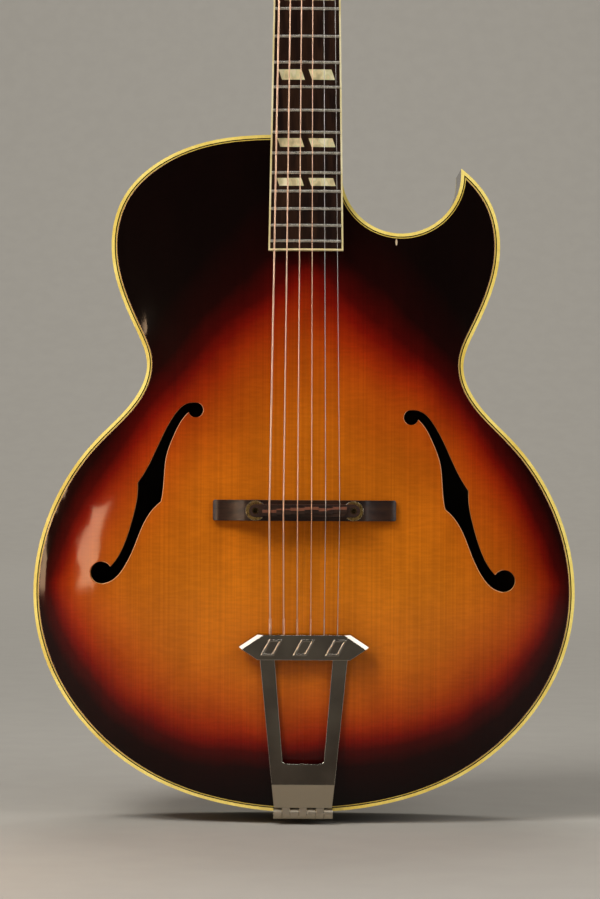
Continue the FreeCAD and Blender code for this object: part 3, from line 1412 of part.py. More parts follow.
def leaning_frame(x, front):
    """Raised outline of a parallelogram that leans to the treble side."""
    half_height = FRAME_LINE_HEIGHT / 2

    def slab(inset, low, high):
        half = FRAME_LINE_WIDTH / 2 - inset
        rise = half_height - inset
        lean = FRAME_LINE_LEAN / 2 * rise / half_height
        foot = ((x - half - lean, -rise), (x + half - lean, -rise))
        head = ((x + half + lean, rise), (x - half + lean, rise))
        return plate((*foot, *head), low, high)

    top = front + FRAME_LINE_RAISE
    return slab(0, front - EDGE_BEVEL, top).cut(slab(FRAME_LINE_STROKE, front, top + EDGE_BEVEL))


def string_passages():
    holes = []
    for index in range(len(STRING_DIAMETERS)):
        start = ball_point(index)
        along = (saddle_point(index) - start).normalize()
        radius = STRING_DIAMETERS[index] / 2 * TWIST_SHARE + STRING_GAP
        holes.append(rod(start, start + along * (BALL_RADIUS + 4 * CREST_BAR_WALL), radius))
    return holes


def tailpiece_frame():
    """Bent plate with two arms, from the hinge to the back of the crest bar."""
    back = CREST.multVec(V(0, CREST_ARM_LAP - CREST_BAR_HEIGHT / 2, -CREST_BAR_THICKNESS / 2))
    lap = CREST.multVec(V(0, -CREST_BAR_HEIGHT / 2, -CREST_BAR_THICKNESS / 2))
    foot = V(0, HINGE_FROM_TAIL + HINGE_RADIUS + KNUCKLE_GAP, HINGE_Z + FRAME_FOOT_RISE)
    bend = V(0, FRAME_BEND_Y, HINGE_Z + FRAME_BEND_RISE)
    front_line = (V(0, HINGE_FROM_TAIL, HINGE_Z + HINGE_RADIUS), foot, bend, lap, back)
    down = V(0, 0, -FRAME_THICKNESS)
    strip = Part.Face(polygon([*front_line, *[point + down for point in reversed(front_line)]]))
    width = V(FRAME_TOP_WIDTH, 0, 0)
    sheet = shifted(strip.extrude(width), x=-FRAME_TOP_WIDTH / 2)
    outer = (
        (-FRAME_FOOT_WIDTH / 2, foot.y),
        (-FRAME_BEND_WIDTH / 2, bend.y),
        (-FRAME_TOP_WIDTH / 2, back.y),
        (FRAME_TOP_WIDTH / 2, back.y),
        (FRAME_BEND_WIDTH / 2, bend.y),
        (FRAME_FOOT_WIDTH / 2, foot.y),
    )
    window = plate(
        (
            (-WINDOW_FOOT_WIDTH / 2, WINDOW_FOOT_Y),
            (-WINDOW_TOP_WIDTH / 2, back.y + 1),
            (WINDOW_TOP_WIDTH / 2, back.y + 1),
            (WINDOW_FOOT_WIDTH / 2, WINDOW_FOOT_Y),
        ),
        0,
        DEEP,
    )
    corners = [e for e in window.Edges if e.BoundBox.ZLength > 1 and e.BoundBox.YMax < WINDOW_FOOT_Y + 1]
    window = window.makeFillet(WINDOW_ROUND, corners)
    body = sheet.common(plate(outer, 0, DEEP)).cut(window)
    tabs = []
    for number in range(1, HINGE_KNUCKLES, 2):
        barrel, left, right = knuckle(number, KNUCKLE_GAP)
        strap = sheet.common(block((left, right), (HINGE_FROM_TAIL, foot.y + 1), (0, DEEP)))
        tabs += [barrel, strap]
    return joined([body, *tabs]).cut(hinge_bore(RUNNING_GAP))


def bracket():
    """Leaf down the tail, with the outer barrels of the hinge at its top."""
    top = PLATE_EDGE
    half = HINGE_WIDTH / 2
    foot = BRACKET_FOOT_WIDTH / 2
    low = top - BRACKET_LENGTH
    outline = ((-half, top), (half, top), (foot, low), (-foot, low))
    face = Part.Face(polygon([V(x, BRACKET_FACE, z) for x, z in outline]))
    leaf = face.extrude(V(0, BRACKET_THICKNESS, 0))
    corners = [e for e in leaf.Edges if e.BoundBox.YLength > 1 and e.BoundBox.ZMax < low + 1]
    leaf = leaf.makeFillet(BRACKET_ROUND, corners)
    parts = [leaf]
    for number in range(0, HINGE_KNUCKLES, 2):
        barrel, left, right = knuckle(number, 0)
        tab = block((left, right), (BRACKET_FACE, BRACKET_FACE + BRACKET_THICKNESS), (top - 1, HINGE_Z))
        parts += [barrel, tab]
    return joined(parts).cut([hinge_bore(0), bracket_screws(), strap_button()])


def build_tailpiece():
    write("tailpiece_frame", tailpiece_frame())
    write("tailpiece_crest", crest_bar())
    write("tailpiece_bracket", bracket())
    write("hinge_pin", hinge_rod(-HINGE_WIDTH / 2, HINGE_WIDTH / 2, HINGE_PIN_RADIUS))
    write("bracket_screws", bracket_screws())
    write("strap_button", strap_button())
    tell("tailpiece_hinge", V(0, HINGE_FROM_TAIL, HINGE_Z), SPIN_X)
    tell("nut_pivot", NECK.multVec(V(0, 0, BOARD_THICKNESS + NUT_ACTION)), SPIN_X)


os.makedirs("parts", exist_ok=True)
build_body()
build_neck()
build_fingerboard()
build_nut()
build_strings()
build_tuners()
build_bridge()
build_tailpiece()
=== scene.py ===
"""Archtop guitar: finishes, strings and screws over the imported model, in a plain studio.

Metres. X runs to the treble side, Z from the tail up to the head, and the top plate faces -Y.
"""

import json
import math

import bmesh
import bpy
from mathutils import Matrix, Vector

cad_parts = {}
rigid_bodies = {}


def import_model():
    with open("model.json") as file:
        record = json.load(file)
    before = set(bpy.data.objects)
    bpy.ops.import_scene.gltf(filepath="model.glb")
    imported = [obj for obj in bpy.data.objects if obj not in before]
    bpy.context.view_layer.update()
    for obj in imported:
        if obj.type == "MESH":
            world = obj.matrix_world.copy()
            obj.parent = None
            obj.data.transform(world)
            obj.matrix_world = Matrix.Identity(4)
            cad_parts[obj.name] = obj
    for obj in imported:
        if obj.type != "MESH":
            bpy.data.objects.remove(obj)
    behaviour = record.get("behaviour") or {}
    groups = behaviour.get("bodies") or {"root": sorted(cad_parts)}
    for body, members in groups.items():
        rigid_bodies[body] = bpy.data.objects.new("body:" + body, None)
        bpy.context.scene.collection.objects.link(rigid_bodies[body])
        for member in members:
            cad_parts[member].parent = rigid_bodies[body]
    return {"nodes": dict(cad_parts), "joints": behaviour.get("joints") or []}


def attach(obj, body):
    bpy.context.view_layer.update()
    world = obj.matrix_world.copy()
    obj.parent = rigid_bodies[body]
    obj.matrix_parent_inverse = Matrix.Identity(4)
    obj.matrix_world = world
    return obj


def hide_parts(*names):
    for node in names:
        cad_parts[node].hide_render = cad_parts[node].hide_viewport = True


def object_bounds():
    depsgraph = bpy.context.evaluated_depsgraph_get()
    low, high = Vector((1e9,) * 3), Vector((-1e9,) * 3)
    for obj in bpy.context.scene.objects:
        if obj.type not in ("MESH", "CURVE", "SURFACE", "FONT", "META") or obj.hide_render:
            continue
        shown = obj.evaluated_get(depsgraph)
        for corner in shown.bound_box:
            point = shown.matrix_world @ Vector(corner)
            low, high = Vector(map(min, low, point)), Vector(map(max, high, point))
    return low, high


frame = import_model()
cad_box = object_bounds()
nodes = frame["nodes"]
joints = {joint["name"]: joint for joint in frame["joints"]}

MM = 0.001

# Camera
VIEW_CENTRE = (-3.6 * MM, 282.3 * MM)
RIM_PLANE = -37.5 * MM
VIEW_DISTANCE = 2.45
VIEW_HEIGHT = 679 * MM
SENSOR = 36.0
VIEW_ROLL = 0.3

# Sunburst, from a point under the bridge: half width, reach to the neck and reach to the tail,
# how sharply each of them falls off, and how far the upper corners darken more than that.
BURST_Z = 181 * MM
BURST_HALF = 192 * MM
BURST_UP = 246 * MM
BURST_DOWN = 127 * MM
BURST_POWERS = (3.0, 1.4, 1.5)
BURST_CORNER = 1.0

# Chip in the lacquer under the cutaway: its middle, and half its width and height
CHIP_PLACE = (68.2 * MM, 438.8 * MM)
CHIP_SIZE = (0.8 * MM, 2.6 * MM)

# Strings, from the bass side
STRING_DIAMETERS = [size * MM for size in (1.35, 1.07, 0.81, 0.61, 0.43, 0.33)]
COMPENSATION = [length * MM for length in (5.8, 5.0, 4.2, 3.4, 4.4, 3.2)]
WINDING_TURNS = (2.25, 2.25, 2.25, 3.25, 3.25, 3.25)
SCALE = 628.65 * MM
NUT_SPREAD = 35.5 * MM
BRIDGE_SPREAD = 52.2 * MM
TAIL_SPREAD = 50.0 * MM
NUT_ACTION = 1.7 * MM
BRIDGE_RISE = 5.1 * MM
NUT_GAP = 0.1 * MM
SADDLE_GAP = 0.06 * MM
BALL_PLACE = (-68.76 * MM, 139.78 * MM)
BALL_RADIUS = 2.0 * MM
BALL_LENGTH = 3.2 * MM
TWIST_REACH = 16.6 * MM
TWIST_SHARE = 1.7
POST_RADIUS = 3.18 * MM
WINDING_START = 4.4 * MM
WINDING_GAP = 0.45 * MM
PLAIN_FROM_X = 8 * MM
WIRE_SIDES = 12

# Fingerboard and nut
BOARD_RADIUS = 305 * MM
BOARD_THICKNESS = 6.0 * MM
BOARD_LENGTH = 437.63 * MM
BOARD_END_WIDTH = 56.1 * MM
NUT_WIDTH = 42.9 * MM
NUT_THICKNESS = 5.0 * MM
SIDE_DOT_FRETS = (3, 5, 7, 9, 12, 15, 17)
SIDE_DOT_RADIUS = 0.9 * MM
SIDE_DOT_PROUD = 0.04 * MM
SIDE_DOT_HEIGHT = 2.7 * MM
OCTAVE_FRET = 12
TWIN_DOT_SPACING = 5.0 * MM

# Screws
BRACKET_SCREWS = ((-13.0 * MM, -23.5 * MM), (13.0 * MM, -23.5 * MM), (0.0, 18.5 * MM))
BRACKET_FACE = 7.1 * MM
BRACKET_SCREW = (3.6 * MM, 1.6 * MM)
EAR_SCREWS = (-11.75 * MM, 15.75 * MM)
EAR_FACE = -16.7 * MM
COVER_SCREW = (7.5 * MM, 7.33 * MM, 1.6 * MM)
SMALL_SCREW = (2.0 * MM, 1.0 * MM)

# Plating is worn matt below this height, from the bend of the tailpiece down to the hinge, and painted pale
# there as a reflection of the floor.
HINGE_WEAR_AND_SHEEN = (30.6 * MM, 31.4 * MM)

# The neck and the head: along each, and out of its face
NECK_LEAN = math.radians(4.2)
HEAD_LEAN = math.radians(19.2)
ACROSS = Vector((1, 0, 0))
NECK_UP = Vector((0, math.sin(NECK_LEAN), math.cos(NECK_LEAN)))
NECK_OUT = Vector((0, -math.cos(NECK_LEAN), math.sin(NECK_LEAN)))
HEAD_UP = Vector((0, math.sin(HEAD_LEAN), math.cos(HEAD_LEAN)))
HEAD_OUT = Vector((0, -math.cos(HEAD_LEAN), math.sin(HEAD_LEAN)))
NUT_FOOT = Vector(joints["string_lift"]["pos_m"]) - NECK_OUT * (BOARD_THICKNESS + NUT_ACTION)

# Sunburst colours use half of the burst's distance, so that 1 lies far outside the guitar.
BURST_SHARE = 0.5

# Faces meet in a sharp line above this angle.
SHARP_ANGLE = math.radians(32)
WELD_GAP = 0.002 * MM

# Paper: half its width, its front edge, its length along the floor, its height behind and its curve
SWEEP_HALF = 10
SWEEP_FRONT = -10
SWEEP_LENGTH = 19
SWEEP_HEIGHT = 9
SWEEP_CURVE = 3.0
WHITE = "#ffffff"

# Strip light whose streak shows beside the bass sound hole
STRIP_PLACE = (-0.373, -0.5, 0.232)
STRIP_AIM = (-0.158, -0.05, 0.214)

# Settings that several nodes share
BLEND = {"data_type": "RGBA"}
TINT = {"data_type": "RGBA", "blend_type": "MULTIPLY"}
EASED = {"interpolation_type": "SMOOTHSTEP"}


def frame_at(origin, along, out):
    """Matrix of a frame with X across the guitar."""
    return Matrix.Translation(origin) @ Matrix((ACROSS, along, out)).transposed().to_4x4()


NECK_FRAME = frame_at(NUT_FOOT, NECK_UP, NECK_OUT)
HEAD_FRAME = frame_at(NUT_FOOT + NECK_UP * NUT_THICKNESS, HEAD_UP, HEAD_OUT)


def srgb(code):
    """Colour from a hex code, made linear."""
    values = []
    for start in (1, 3, 5):
        value = int(code[start : start + 2], 16) / 255
        values.append(value / 12.92 if value <= 0.04045 else ((value + 0.055) / 1.055) ** 2.4)
    return (*values, 1.0)


def add(tree, kind, settings=None, inputs=None, stops=()):
    """Adds a node. Settings are its properties, inputs are values or sockets, stops are a ramp's colours."""
    node = tree.nodes.new(kind)
    for name, value in (settings or {}).items():
        setattr(node, name, value)
    for name, value in (inputs or {}).items():
        if isinstance(value, bpy.types.NodeSocket):
            tree.links.new(value, node.inputs[name])
        else:
            node.inputs[name].default_value = value
    for index, (position, code) in enumerate(stops):
        elements = node.color_ramp.elements
        stop = elements[index] if index < 2 else elements.new(position)
        stop.position = position
        stop.color = srgb(code)
    return node


def new_material(name, **values):
    """Material with a Principled shader, its even values set on the shader's own sockets."""
    material = bpy.data.materials.new(name)
    material.use_nodes = True
    tree = material.node_tree
    shader = tree.nodes["Principled BSDF"]
    for socket, value in values.items():
        shader.inputs[socket.replace("_", " ")].default_value = value
    return material, tree, shader


def mottle(tree, size, low, high, detail=3.0):
    """Noise as a value from low to high, its features a size in millimetres along X, Y and Z."""
    scale = tuple(1 / (length * MM) for length in size)
    place = add(tree, "ShaderNodeTexCoord")
    mapped = add(tree, "ShaderNodeMapping", None, {"Vector": place.outputs["Object"], "Scale": scale})
    fineness = {"Vector": mapped.outputs[0], "Scale": 1.0, "Detail": detail}
    noise = add(tree, "ShaderNodeTexNoise", None, fineness)
    limits = {"Value": noise.outputs["Fac"], "From Min": 0.3, "From Max": 0.7, "To Min": low, "To Max": high}
    return add(tree, "ShaderNodeMapRange", EASED, limits).outputs[0]


def place_axes(tree, output="Object"):
    """X, Y and Z of a point on the object, or of its normal."""
    place = add(tree, "ShaderNodeTexCoord")
    return add(tree, "ShaderNodeSeparateXYZ", None, {"Vector": place.outputs[output]}).outputs


def relief(tree, shader, height, depth, edge=0.0, socket="Normal"):
    """Fine relief from a height, over edges that look rounded to a radius."""
    inputs = {"Height": height, "Distance": depth}
    if edge:
        inputs["Normal"] = add(tree, "ShaderNodeBevel", {"samples": 6}, {"Radius": edge}).outputs[0]
    bump = add(tree, "ShaderNodeBump", None, inputs)
    tree.links.new(bump.outputs["Normal"], shader.inputs[socket])


def outside(tree, side):
    """1 on faces that look along a side of Y, 0 on walls and on the far side."""
    limits = {"Value": place_axes(tree, "Normal")["Y"], "From Min": 0.3 * side, "From Max": 0.6 * side}
    return add(tree, "ShaderNodeMapRange", EASED, limits).outputs[0]


def burst(tree, stops):
    """Sunburst: an egg round the lower bout, its colour from the middle outwards."""
    axes = place_axes(tree)
    width, up, down = BURST_POWERS
    reaches = (
        ("X", 0.0, BURST_HALF, width),
        ("X", 0.0, -BURST_HALF, width),
        ("Z", BURST_Z, BURST_UP, up),
        ("Z", BURST_Z, -BURST_DOWN, down),
    )
    total = mottle(tree, (71, 71, 111), -0.04, 0.04)
    shares = []
    for axis, middle, reach, power in reaches:
        limits = {"Value": axes[axis], "From Min": middle, "From Max": middle + 3 * reach, "To Max": 3.0}
        share = add(tree, "ShaderNodeMapRange", None, limits).outputs[0]
        shares.append(share)
        raised = add(tree, "ShaderNodeMath", {"operation": "POWER"}, {0: share, 1: power}).outputs[0]
        total = add(tree, "ShaderNodeMath", {"operation": "ADD"}, {0: total, 1: raised}).outputs[0]
    right, left, above = shares[:3]
    sideways = add(tree, "ShaderNodeMath", {"operation": "ADD"}, {0: right, 1: left}).outputs[0]
    corner = add(tree, "ShaderNodeMath", {"operation": "MULTIPLY"}, {0: sideways, 1: above}).outputs[0]
    sums = {0: corner, 1: BURST_CORNER, 2: total}
    total = add(tree, "ShaderNodeMath", {"operation": "MULTIPLY_ADD"}, sums).outputs[0]
    halved = add(tree, "ShaderNodeMath", {"operation": "MULTIPLY"}, {0: total, 1: BURST_SHARE}).outputs[0]
    return add(tree, "ShaderNodeValToRGB", None, {"Fac": halved}, stops).outputs["Color"]


def chip(tree):
    """1 in the small chip in the lacquer, 0 round it."""
    place = add(tree, "ShaderNodeTexCoord")
    inputs = {
        "Vector": place.outputs["Object"],
        "Location": (CHIP_PLACE[0], 0, CHIP_PLACE[1]),
        "Scale": (CHIP_SIZE[0], 1, CHIP_SIZE[1]),
    }
    mapped = add(tree, "ShaderNodeMapping", {"vector_type": "TEXTURE"}, inputs)
    away = add(tree, "ShaderNodeVectorMath", {"operation": "LENGTH"}, {0: mapped.outputs[0]})
    limits = {"Value": away.outputs["Value"], "From Min": 0.8, "From Max": 1.1, "To Min": 1.0, "To Max": 0.0}
    return add(tree, "ShaderNodeMapRange", EASED, limits).outputs[0]


def edge_wear_and_highlight(tree, radius):
    """1 along sharp edges, 0 on flat and evenly curved faces."""
    rounded = add(tree, "ShaderNodeBevel", {"samples": 6}, {"Radius": radius}).outputs[0]
    plain = add(tree, "ShaderNodeNewGeometry").outputs["Normal"]
    turned = add(tree, "ShaderNodeVectorMath", {"operation": "DOT_PRODUCT"}, {0: rounded, 1: plain})
    limits = {"Value": turned.outputs["Value"], "From Min": 0.995, "From Max": 0.94}
    return add(tree, "ShaderNodeMapRange", EASED, limits).outputs[0]


def painted_lip_highlight(tree, radius):
    """1 along edges of the sound holes that face away from the middle, where a pale highlight is painted."""
    rounded = add(tree, "ShaderNodeBevel", {"samples": 6}, {"Radius": radius}).outputs[0]
    sideways = add(tree, "ShaderNodeSeparateXYZ", None, {"Vector": rounded}).outputs["X"]
    across = {0: sideways, 1: place_axes(tree)["X"]}
    outwards = add(tree, "ShaderNodeMath", {"operation": "MULTIPLY"}, across).outputs[0]
    limits = {"Value": outwards, "From Min": 0.02, "From Max": 0.04}
    facing = add(tree, "ShaderNodeMapRange", EASED, limits).outputs[0]
    edges = {0: facing, 1: edge_wear_and_highlight(tree, radius)}
    return add(tree, "ShaderNodeMath", {"operation": "MULTIPLY"}, edges).outputs[0]


def sunburst_spruce():
    """Carved spruce, sprayed from amber to black under gloss nitrocellulose lacquer.

    Straight grain down the plate, faint silk across it, bare wood on the walls of the sound holes, and a
    painted highlight along their outward lips.
    """
    material, tree, shader = new_material(
        "sunburst_spruce", Roughness=0.5, Specular_IOR_Level=0.05, Coat_Weight=0.3, Coat_Roughness=0.08
    )
    stops = (
        (0.0, "#be6a10"),
        (0.183, "#b25c0d"),
        (0.305, "#a44709"),
        (0.405, "#8d2705"),
        (0.46, "#6a0d03"),
        (0.505, "#3f0402"),
        (0.58, "#1a0302"),
        (0.74, "#0a0302"),
    )
    lacquer = burst(tree, stops)
    grain = mottle(tree, (1.18, 16.7, 250), 0.9, 1.08)
    silk = mottle(tree, (9.1, 16.7, 1.6), 0.93, 1.06)
    cloud = mottle(tree, (38.5, 38.5, 71), 0.88, 1.1, 2.0)
    for pattern in (grain, silk, cloud):
        lacquer = add(tree, "ShaderNodeMix", TINT, {0: 1.0, 6: lacquer, 7: pattern}).outputs[2]
    bare = add(tree, "ShaderNodeMix", TINT, {0: 1.0, 6: srgb("#d9a86c"), 7: grain}).outputs[2]
    colour = add(tree, "ShaderNodeMix", BLEND, {0: outside(tree, -1), 6: bare, 7: lacquer}).outputs[2]
    # Painted highlight: a pale line along the outward edges of the sound holes, as if they caught light from
    # the side.
    lip_highlight_mask = painted_lip_highlight(tree, 1.1 * MM)
    colour = add(tree, "ShaderNodeMix", BLEND, {0: lip_highlight_mask, 6: colour, 7: srgb("#e2b083")}).outputs[2]
    colour = add(tree, "ShaderNodeMix", BLEND, {0: chip(tree), 6: colour, 7: srgb("#b9a487")}).outputs[2]
    tree.links.new(colour, shader.inputs["Base Color"])
    relief(tree, shader, grain, 0.03 * MM, 0.7 * MM)
    relief(tree, shader, grain, 0.004 * MM, 0.7 * MM, "Coat Normal")
    return material


def flamed_maple(name, dark, pale, flame, grain, gloss):
    """Hard maple with flame across the grain, stained dark under gloss lacquer."""
    material, tree, shader = new_material(
        name, Roughness=0.45, Specular_IOR_Level=0.2, Coat_Weight=gloss, Coat_Roughness=0.08
    )
    stripes = mottle(tree, flame, 0.0, 1.0, 1.5)
    fibres = mottle(tree, grain, 0.86, 1.12)
    stain = add(tree, "ShaderNodeMix", BLEND, {0: stripes, 6: srgb(dark), 7: srgb(pale)}).outputs[2]
    stain = add(tree, "ShaderNodeMix", TINT, {0: 1.0, 6: stain, 7: fibres}).outputs[2]
    tree.links.new(stain, shader.inputs["Base Color"])
    relief(tree, shader, fibres, 0.03 * MM)
    return material


def sunburst_maple():
    """Carved maple back in the same burst, its flame showing through the amber, and the unfinished wood
    inside painted dark brown as shade.
    """
    material, tree, shader = new_material(
        "sunburst_maple", Roughness=0.45, Specular_IOR_Level=0.2, Coat_Weight=0.8, Coat_Roughness=0.07
    )
    stops = ((0.05, "#8a3f0b"), (0.25, "#742b07"), (0.40, "#4c1203"), (0.5, "#260602"), (0.66, "#0c0302"))
    lacquer = burst(tree, stops)
    flame = mottle(tree, (62.5, 100, 10.5), 0.72, 1.25, 1.5)
    fibres = mottle(tree, (2.4, 25, 125), 0.92, 1.06)
    for pattern in (flame, fibres):
        lacquer = add(tree, "ShaderNodeMix", TINT, {0: 1.0, 6: lacquer, 7: pattern}).outputs[2]
    # The inside face is painted dark brown, darker than bare maple, as painted shade inside the body.
    unfinished_with_painted_shade = add(tree, "ShaderNodeMix", TINT, {0: 1.0, 6: srgb("#2e1c10"), 7: fibres}).outputs[2]
    colour = add(tree, "ShaderNodeMix", BLEND, {0: outside(tree, 1), 6: unfinished_with_painted_shade, 7: lacquer}).outputs[2]
    tree.links.new(colour, shader.inputs["Base Color"])
    relief(tree, shader, fibres, 0.01 * MM, 0.5 * MM)
    return material


def bare_wood():
    """Unfinished spruce and maple inside the body: pale, dry and fibrous."""
    material, tree, shader = new_material("bare_wood", Roughness=0.75)
    fibres = mottle(tree, (3.3, 3.3, 83), 0.78, 1.1)
    colour = add(tree, "ShaderNodeMix", TINT, {0: 1.0, 6: srgb("#9a7246"), 7: fibres}).outputs[2]
    tree.links.new(colour, shader.inputs["Base Color"])
    relief(tree, shader, fibres, 0.08 * MM)
    return material


def rosewood(name, streak, pore, edge, polish, worn):
    """Oiled rosewood: dark red brown with blacker streaks along the grain, open pores, and rubbed slopes."""
    material, tree, shader = new_material(name, Specular_IOR_Level=0.3)
    grain = mottle(tree, pore, 0.7, 1.15)
    streaks = {0: mottle(tree, streak, 0.0, 1.0), 6: srgb("#150a08"), 7: srgb("#2c1a10")}
    colour = add(tree, "ShaderNodeMix", BLEND, streaks).outputs[2]
    slope = {"Value": place_axes(tree, "Normal")["Z"], "From Min": 0.12, "From Max": 0.24}
    rubbed = add(tree, "ShaderNodeMapRange", EASED, slope).outputs[0]
    colour = add(tree, "ShaderNodeMix", BLEND, {0: rubbed, 6: colour, 7: srgb(worn)}).outputs[2]
    colour = add(tree, "ShaderNodeMix", TINT, {0: 1.0, 6: colour, 7: grain}).outputs[2]
    tree.links.new(colour, shader.inputs["Base Color"])
    tree.links.new(mottle(tree, pore, polish * 1.3, polish), shader.inputs["Roughness"])
    relief(tree, shader, grain, 0.03 * MM, edge)
    return material


def celluloid(name, pale, deep, gloss=0.22):
    """Polished celluloid: even colour with slight yellowing in patches."""
    material, tree, shader = new_material(name, Roughness=gloss, Specular_IOR_Level=0.4)
    patches = mottle(tree, (33, 33, 33), 0.0, 1.0)
    specks = mottle(tree, (1.4, 1.4, 1.4), 0.95, 1.04)
    colour = add(tree, "ShaderNodeMix", BLEND, {0: patches, 6: srgb(pale), 7: srgb(deep)}).outputs[2]
    colour = add(tree, "ShaderNodeMix", TINT, {0: 1.0, 6: colour, 7: specks}).outputs[2]
    tree.links.new(colour, shader.inputs["Base Color"])
    return material


def shell_pearl():
    """Mother of pearl: cloudy cream with faint green and pink bands, ground flush and polished."""
    material, tree, shader = new_material("shell_pearl", Roughness=0.25, Specular_IOR_Level=0.4)
    clouds = mottle(tree, (6.25, 6.25, 9.1), 0.0, 1.0, 2.0)
    stops = ((0.0, "#a99f79"), (0.38, "#d0be92"), (0.62, "#bcb88e"), (1.0, "#d8cda8"))
    ramp = add(tree, "ShaderNodeValToRGB", None, {"Fac": clouds}, stops)
    tree.links.new(ramp.outputs["Color"], shader.inputs["Base Color"])
    return material


def plating(name, pale, tarnish, roughness, edge=0.0, patch=25):
    """Polished plating or bare metal: light tarnish in clouds, fine rubbing, and edges painted pale as a
    highlight, partly polish worn bright.

    Rubbing marks are under 0.1 mm wide, too fine to show, so they are drawn 0.4 mm wide.
    """
    material, tree, shader = new_material(name, Metallic=1.0)
    clouds = {0: mottle(tree, (patch, patch, patch), 0.0, 1.0), 6: srgb(pale), 7: srgb(tarnish)}
    colour = add(tree, "ShaderNodeMix", BLEND, clouds).outputs[2]
    rubbed = mottle(tree, (0.42, 0.71, 2), roughness * 0.85, roughness * 1.15, 2.0)
    # Edges are painted pale: a painted highlight along them, partly polish worn bright.
    if edge:
        rims = {0: edge_wear_and_highlight(tree, edge), 6: colour, 7: srgb("#e2dacb")}
        colour = add(tree, "ShaderNodeMix", BLEND, rims).outputs[2]
    tree.links.new(colour, shader.inputs["Base Color"])
    tree.links.new(rubbed, shader.inputs["Roughness"])
    relief(tree, shader, rubbed, 0.002 * MM, edge)
    return material


def tailpiece_plating():
    """Nickel plate with deep tarnish, polished above the bend and painted dark there as a dark reflection;
    worn matt from there to the hinge and painted pale as a reflection of the floor.
    """
    # The dark nickel colours are partly tarnish and partly a painted dark reflection.
    material = plating("nickel_plate", "#655f56", "#57514a", 0.12, 0.5 * MM)
    tree = material.node_tree
    shader = tree.nodes["Principled BSDF"]
    low, high = HINGE_WEAR_AND_SHEEN
    height = {"Value": place_axes(tree)["Z"], "From Min": low, "From Max": high, "To Min": 1.0, "To Max": 0.0}
    worn = add(tree, "ShaderNodeMapRange", EASED, height).outputs[0]
    polished = shader.inputs["Base Color"].links[0].from_socket
    # Below the bend a pale colour is painted as a reflection of the floor, on plating worn matt.
    matt_and_painted_sheen = add(tree, "ShaderNodeMix", BLEND, {0: worn, 6: polished, 7: srgb("#b8ad99")}).outputs[2]
    tree.links.new(matt_and_painted_sheen, shader.inputs["Base Color"])
    smooth = shader.inputs["Roughness"].links[0].from_socket
    mixed = add(tree, "ShaderNodeMix", None, {0: worn, 2: smooth, 3: 0.45}).outputs[0]
    tree.links.new(mixed, shader.inputs["Roughness"])
    return material


def string_wire():
    """Wound bronze strings to the bass side and plain tinned steel to the treble side.

    A wrap is about 0.3 mm wide, too fine to show, so the ribs are drawn 1 mm wide.
    """
    material, tree, shader = new_material("string_wire", Metallic=1.0, Roughness=0.36)
    place = add(tree, "ShaderNodeTexCoord")
    limit = {0: place_axes(tree)["X"], 1: PLAIN_FROM_X}
    plain = add(tree, "ShaderNodeMath", {"operation": "GREATER_THAN"}, limit).outputs[0]
    bands = {"Vector": place.outputs["Object"], "Scale": 0.314 / MM}
    wave = add(tree, "ShaderNodeTexWave", {"bands_direction": "Z"}, bands)
    ribs = add(tree, "ShaderNodeMix", None, {0: plain, 2: wave.outputs["Fac"], 3: 1.0}).outputs[0]
    colour = add(tree, "ShaderNodeMix", BLEND, {0: plain, 6: srgb("#e6bb9c"), 7: srgb("#c4bfb8")}).outputs[2]
    tree.links.new(colour, shader.inputs["Base Color"])
    relief(tree, shader, ribs, 0.04 * MM)
    return material


def smooth_light_group():
    """Smooth faces, parted along sharp edges."""
    group = bpy.data.node_groups.new("smooth_light", "GeometryNodeTree")
    group.interface.new_socket("Geometry", in_out="INPUT", socket_type="NodeSocketGeometry")
    group.interface.new_socket("Geometry", in_out="OUTPUT", socket_type="NodeSocketGeometry")
    start = add(group, "NodeGroupInput")
    angle = add(group, "GeometryNodeInputMeshEdgeAngle")
    compare = {"data_type": "FLOAT", "operation": "GREATER_THAN"}
    sharp = add(group, "FunctionNodeCompare", compare, {0: angle.outputs[0], 1: SHARP_ANGLE})
    every = {"Geometry": start.outputs[0], "Shade Smooth": True}
    faces = add(group, "GeometryNodeSetShadeSmooth", {"domain": "FACE"}, every)
    parted = {"Geometry": faces.outputs[0], "Selection": sharp.outputs[0], "Shade Smooth": False}
    edges = add(group, "GeometryNodeSetShadeSmooth", {"domain": "EDGE"}, parted)
    add(group, "NodeGroupOutput", None, {"Geometry": edges.outputs[0]})
    return group


SMOOTH_LIGHT = smooth_light_group()


def softer(node):
    """Lights a node's curved faces smoothly."""
    weld = node.modifiers.new("weld", "WELD")
    weld.merge_threshold = WELD_GAP
    smooth = node.modifiers.new("smooth_light", "NODES")
    smooth.node_group = SMOOTH_LIGHT


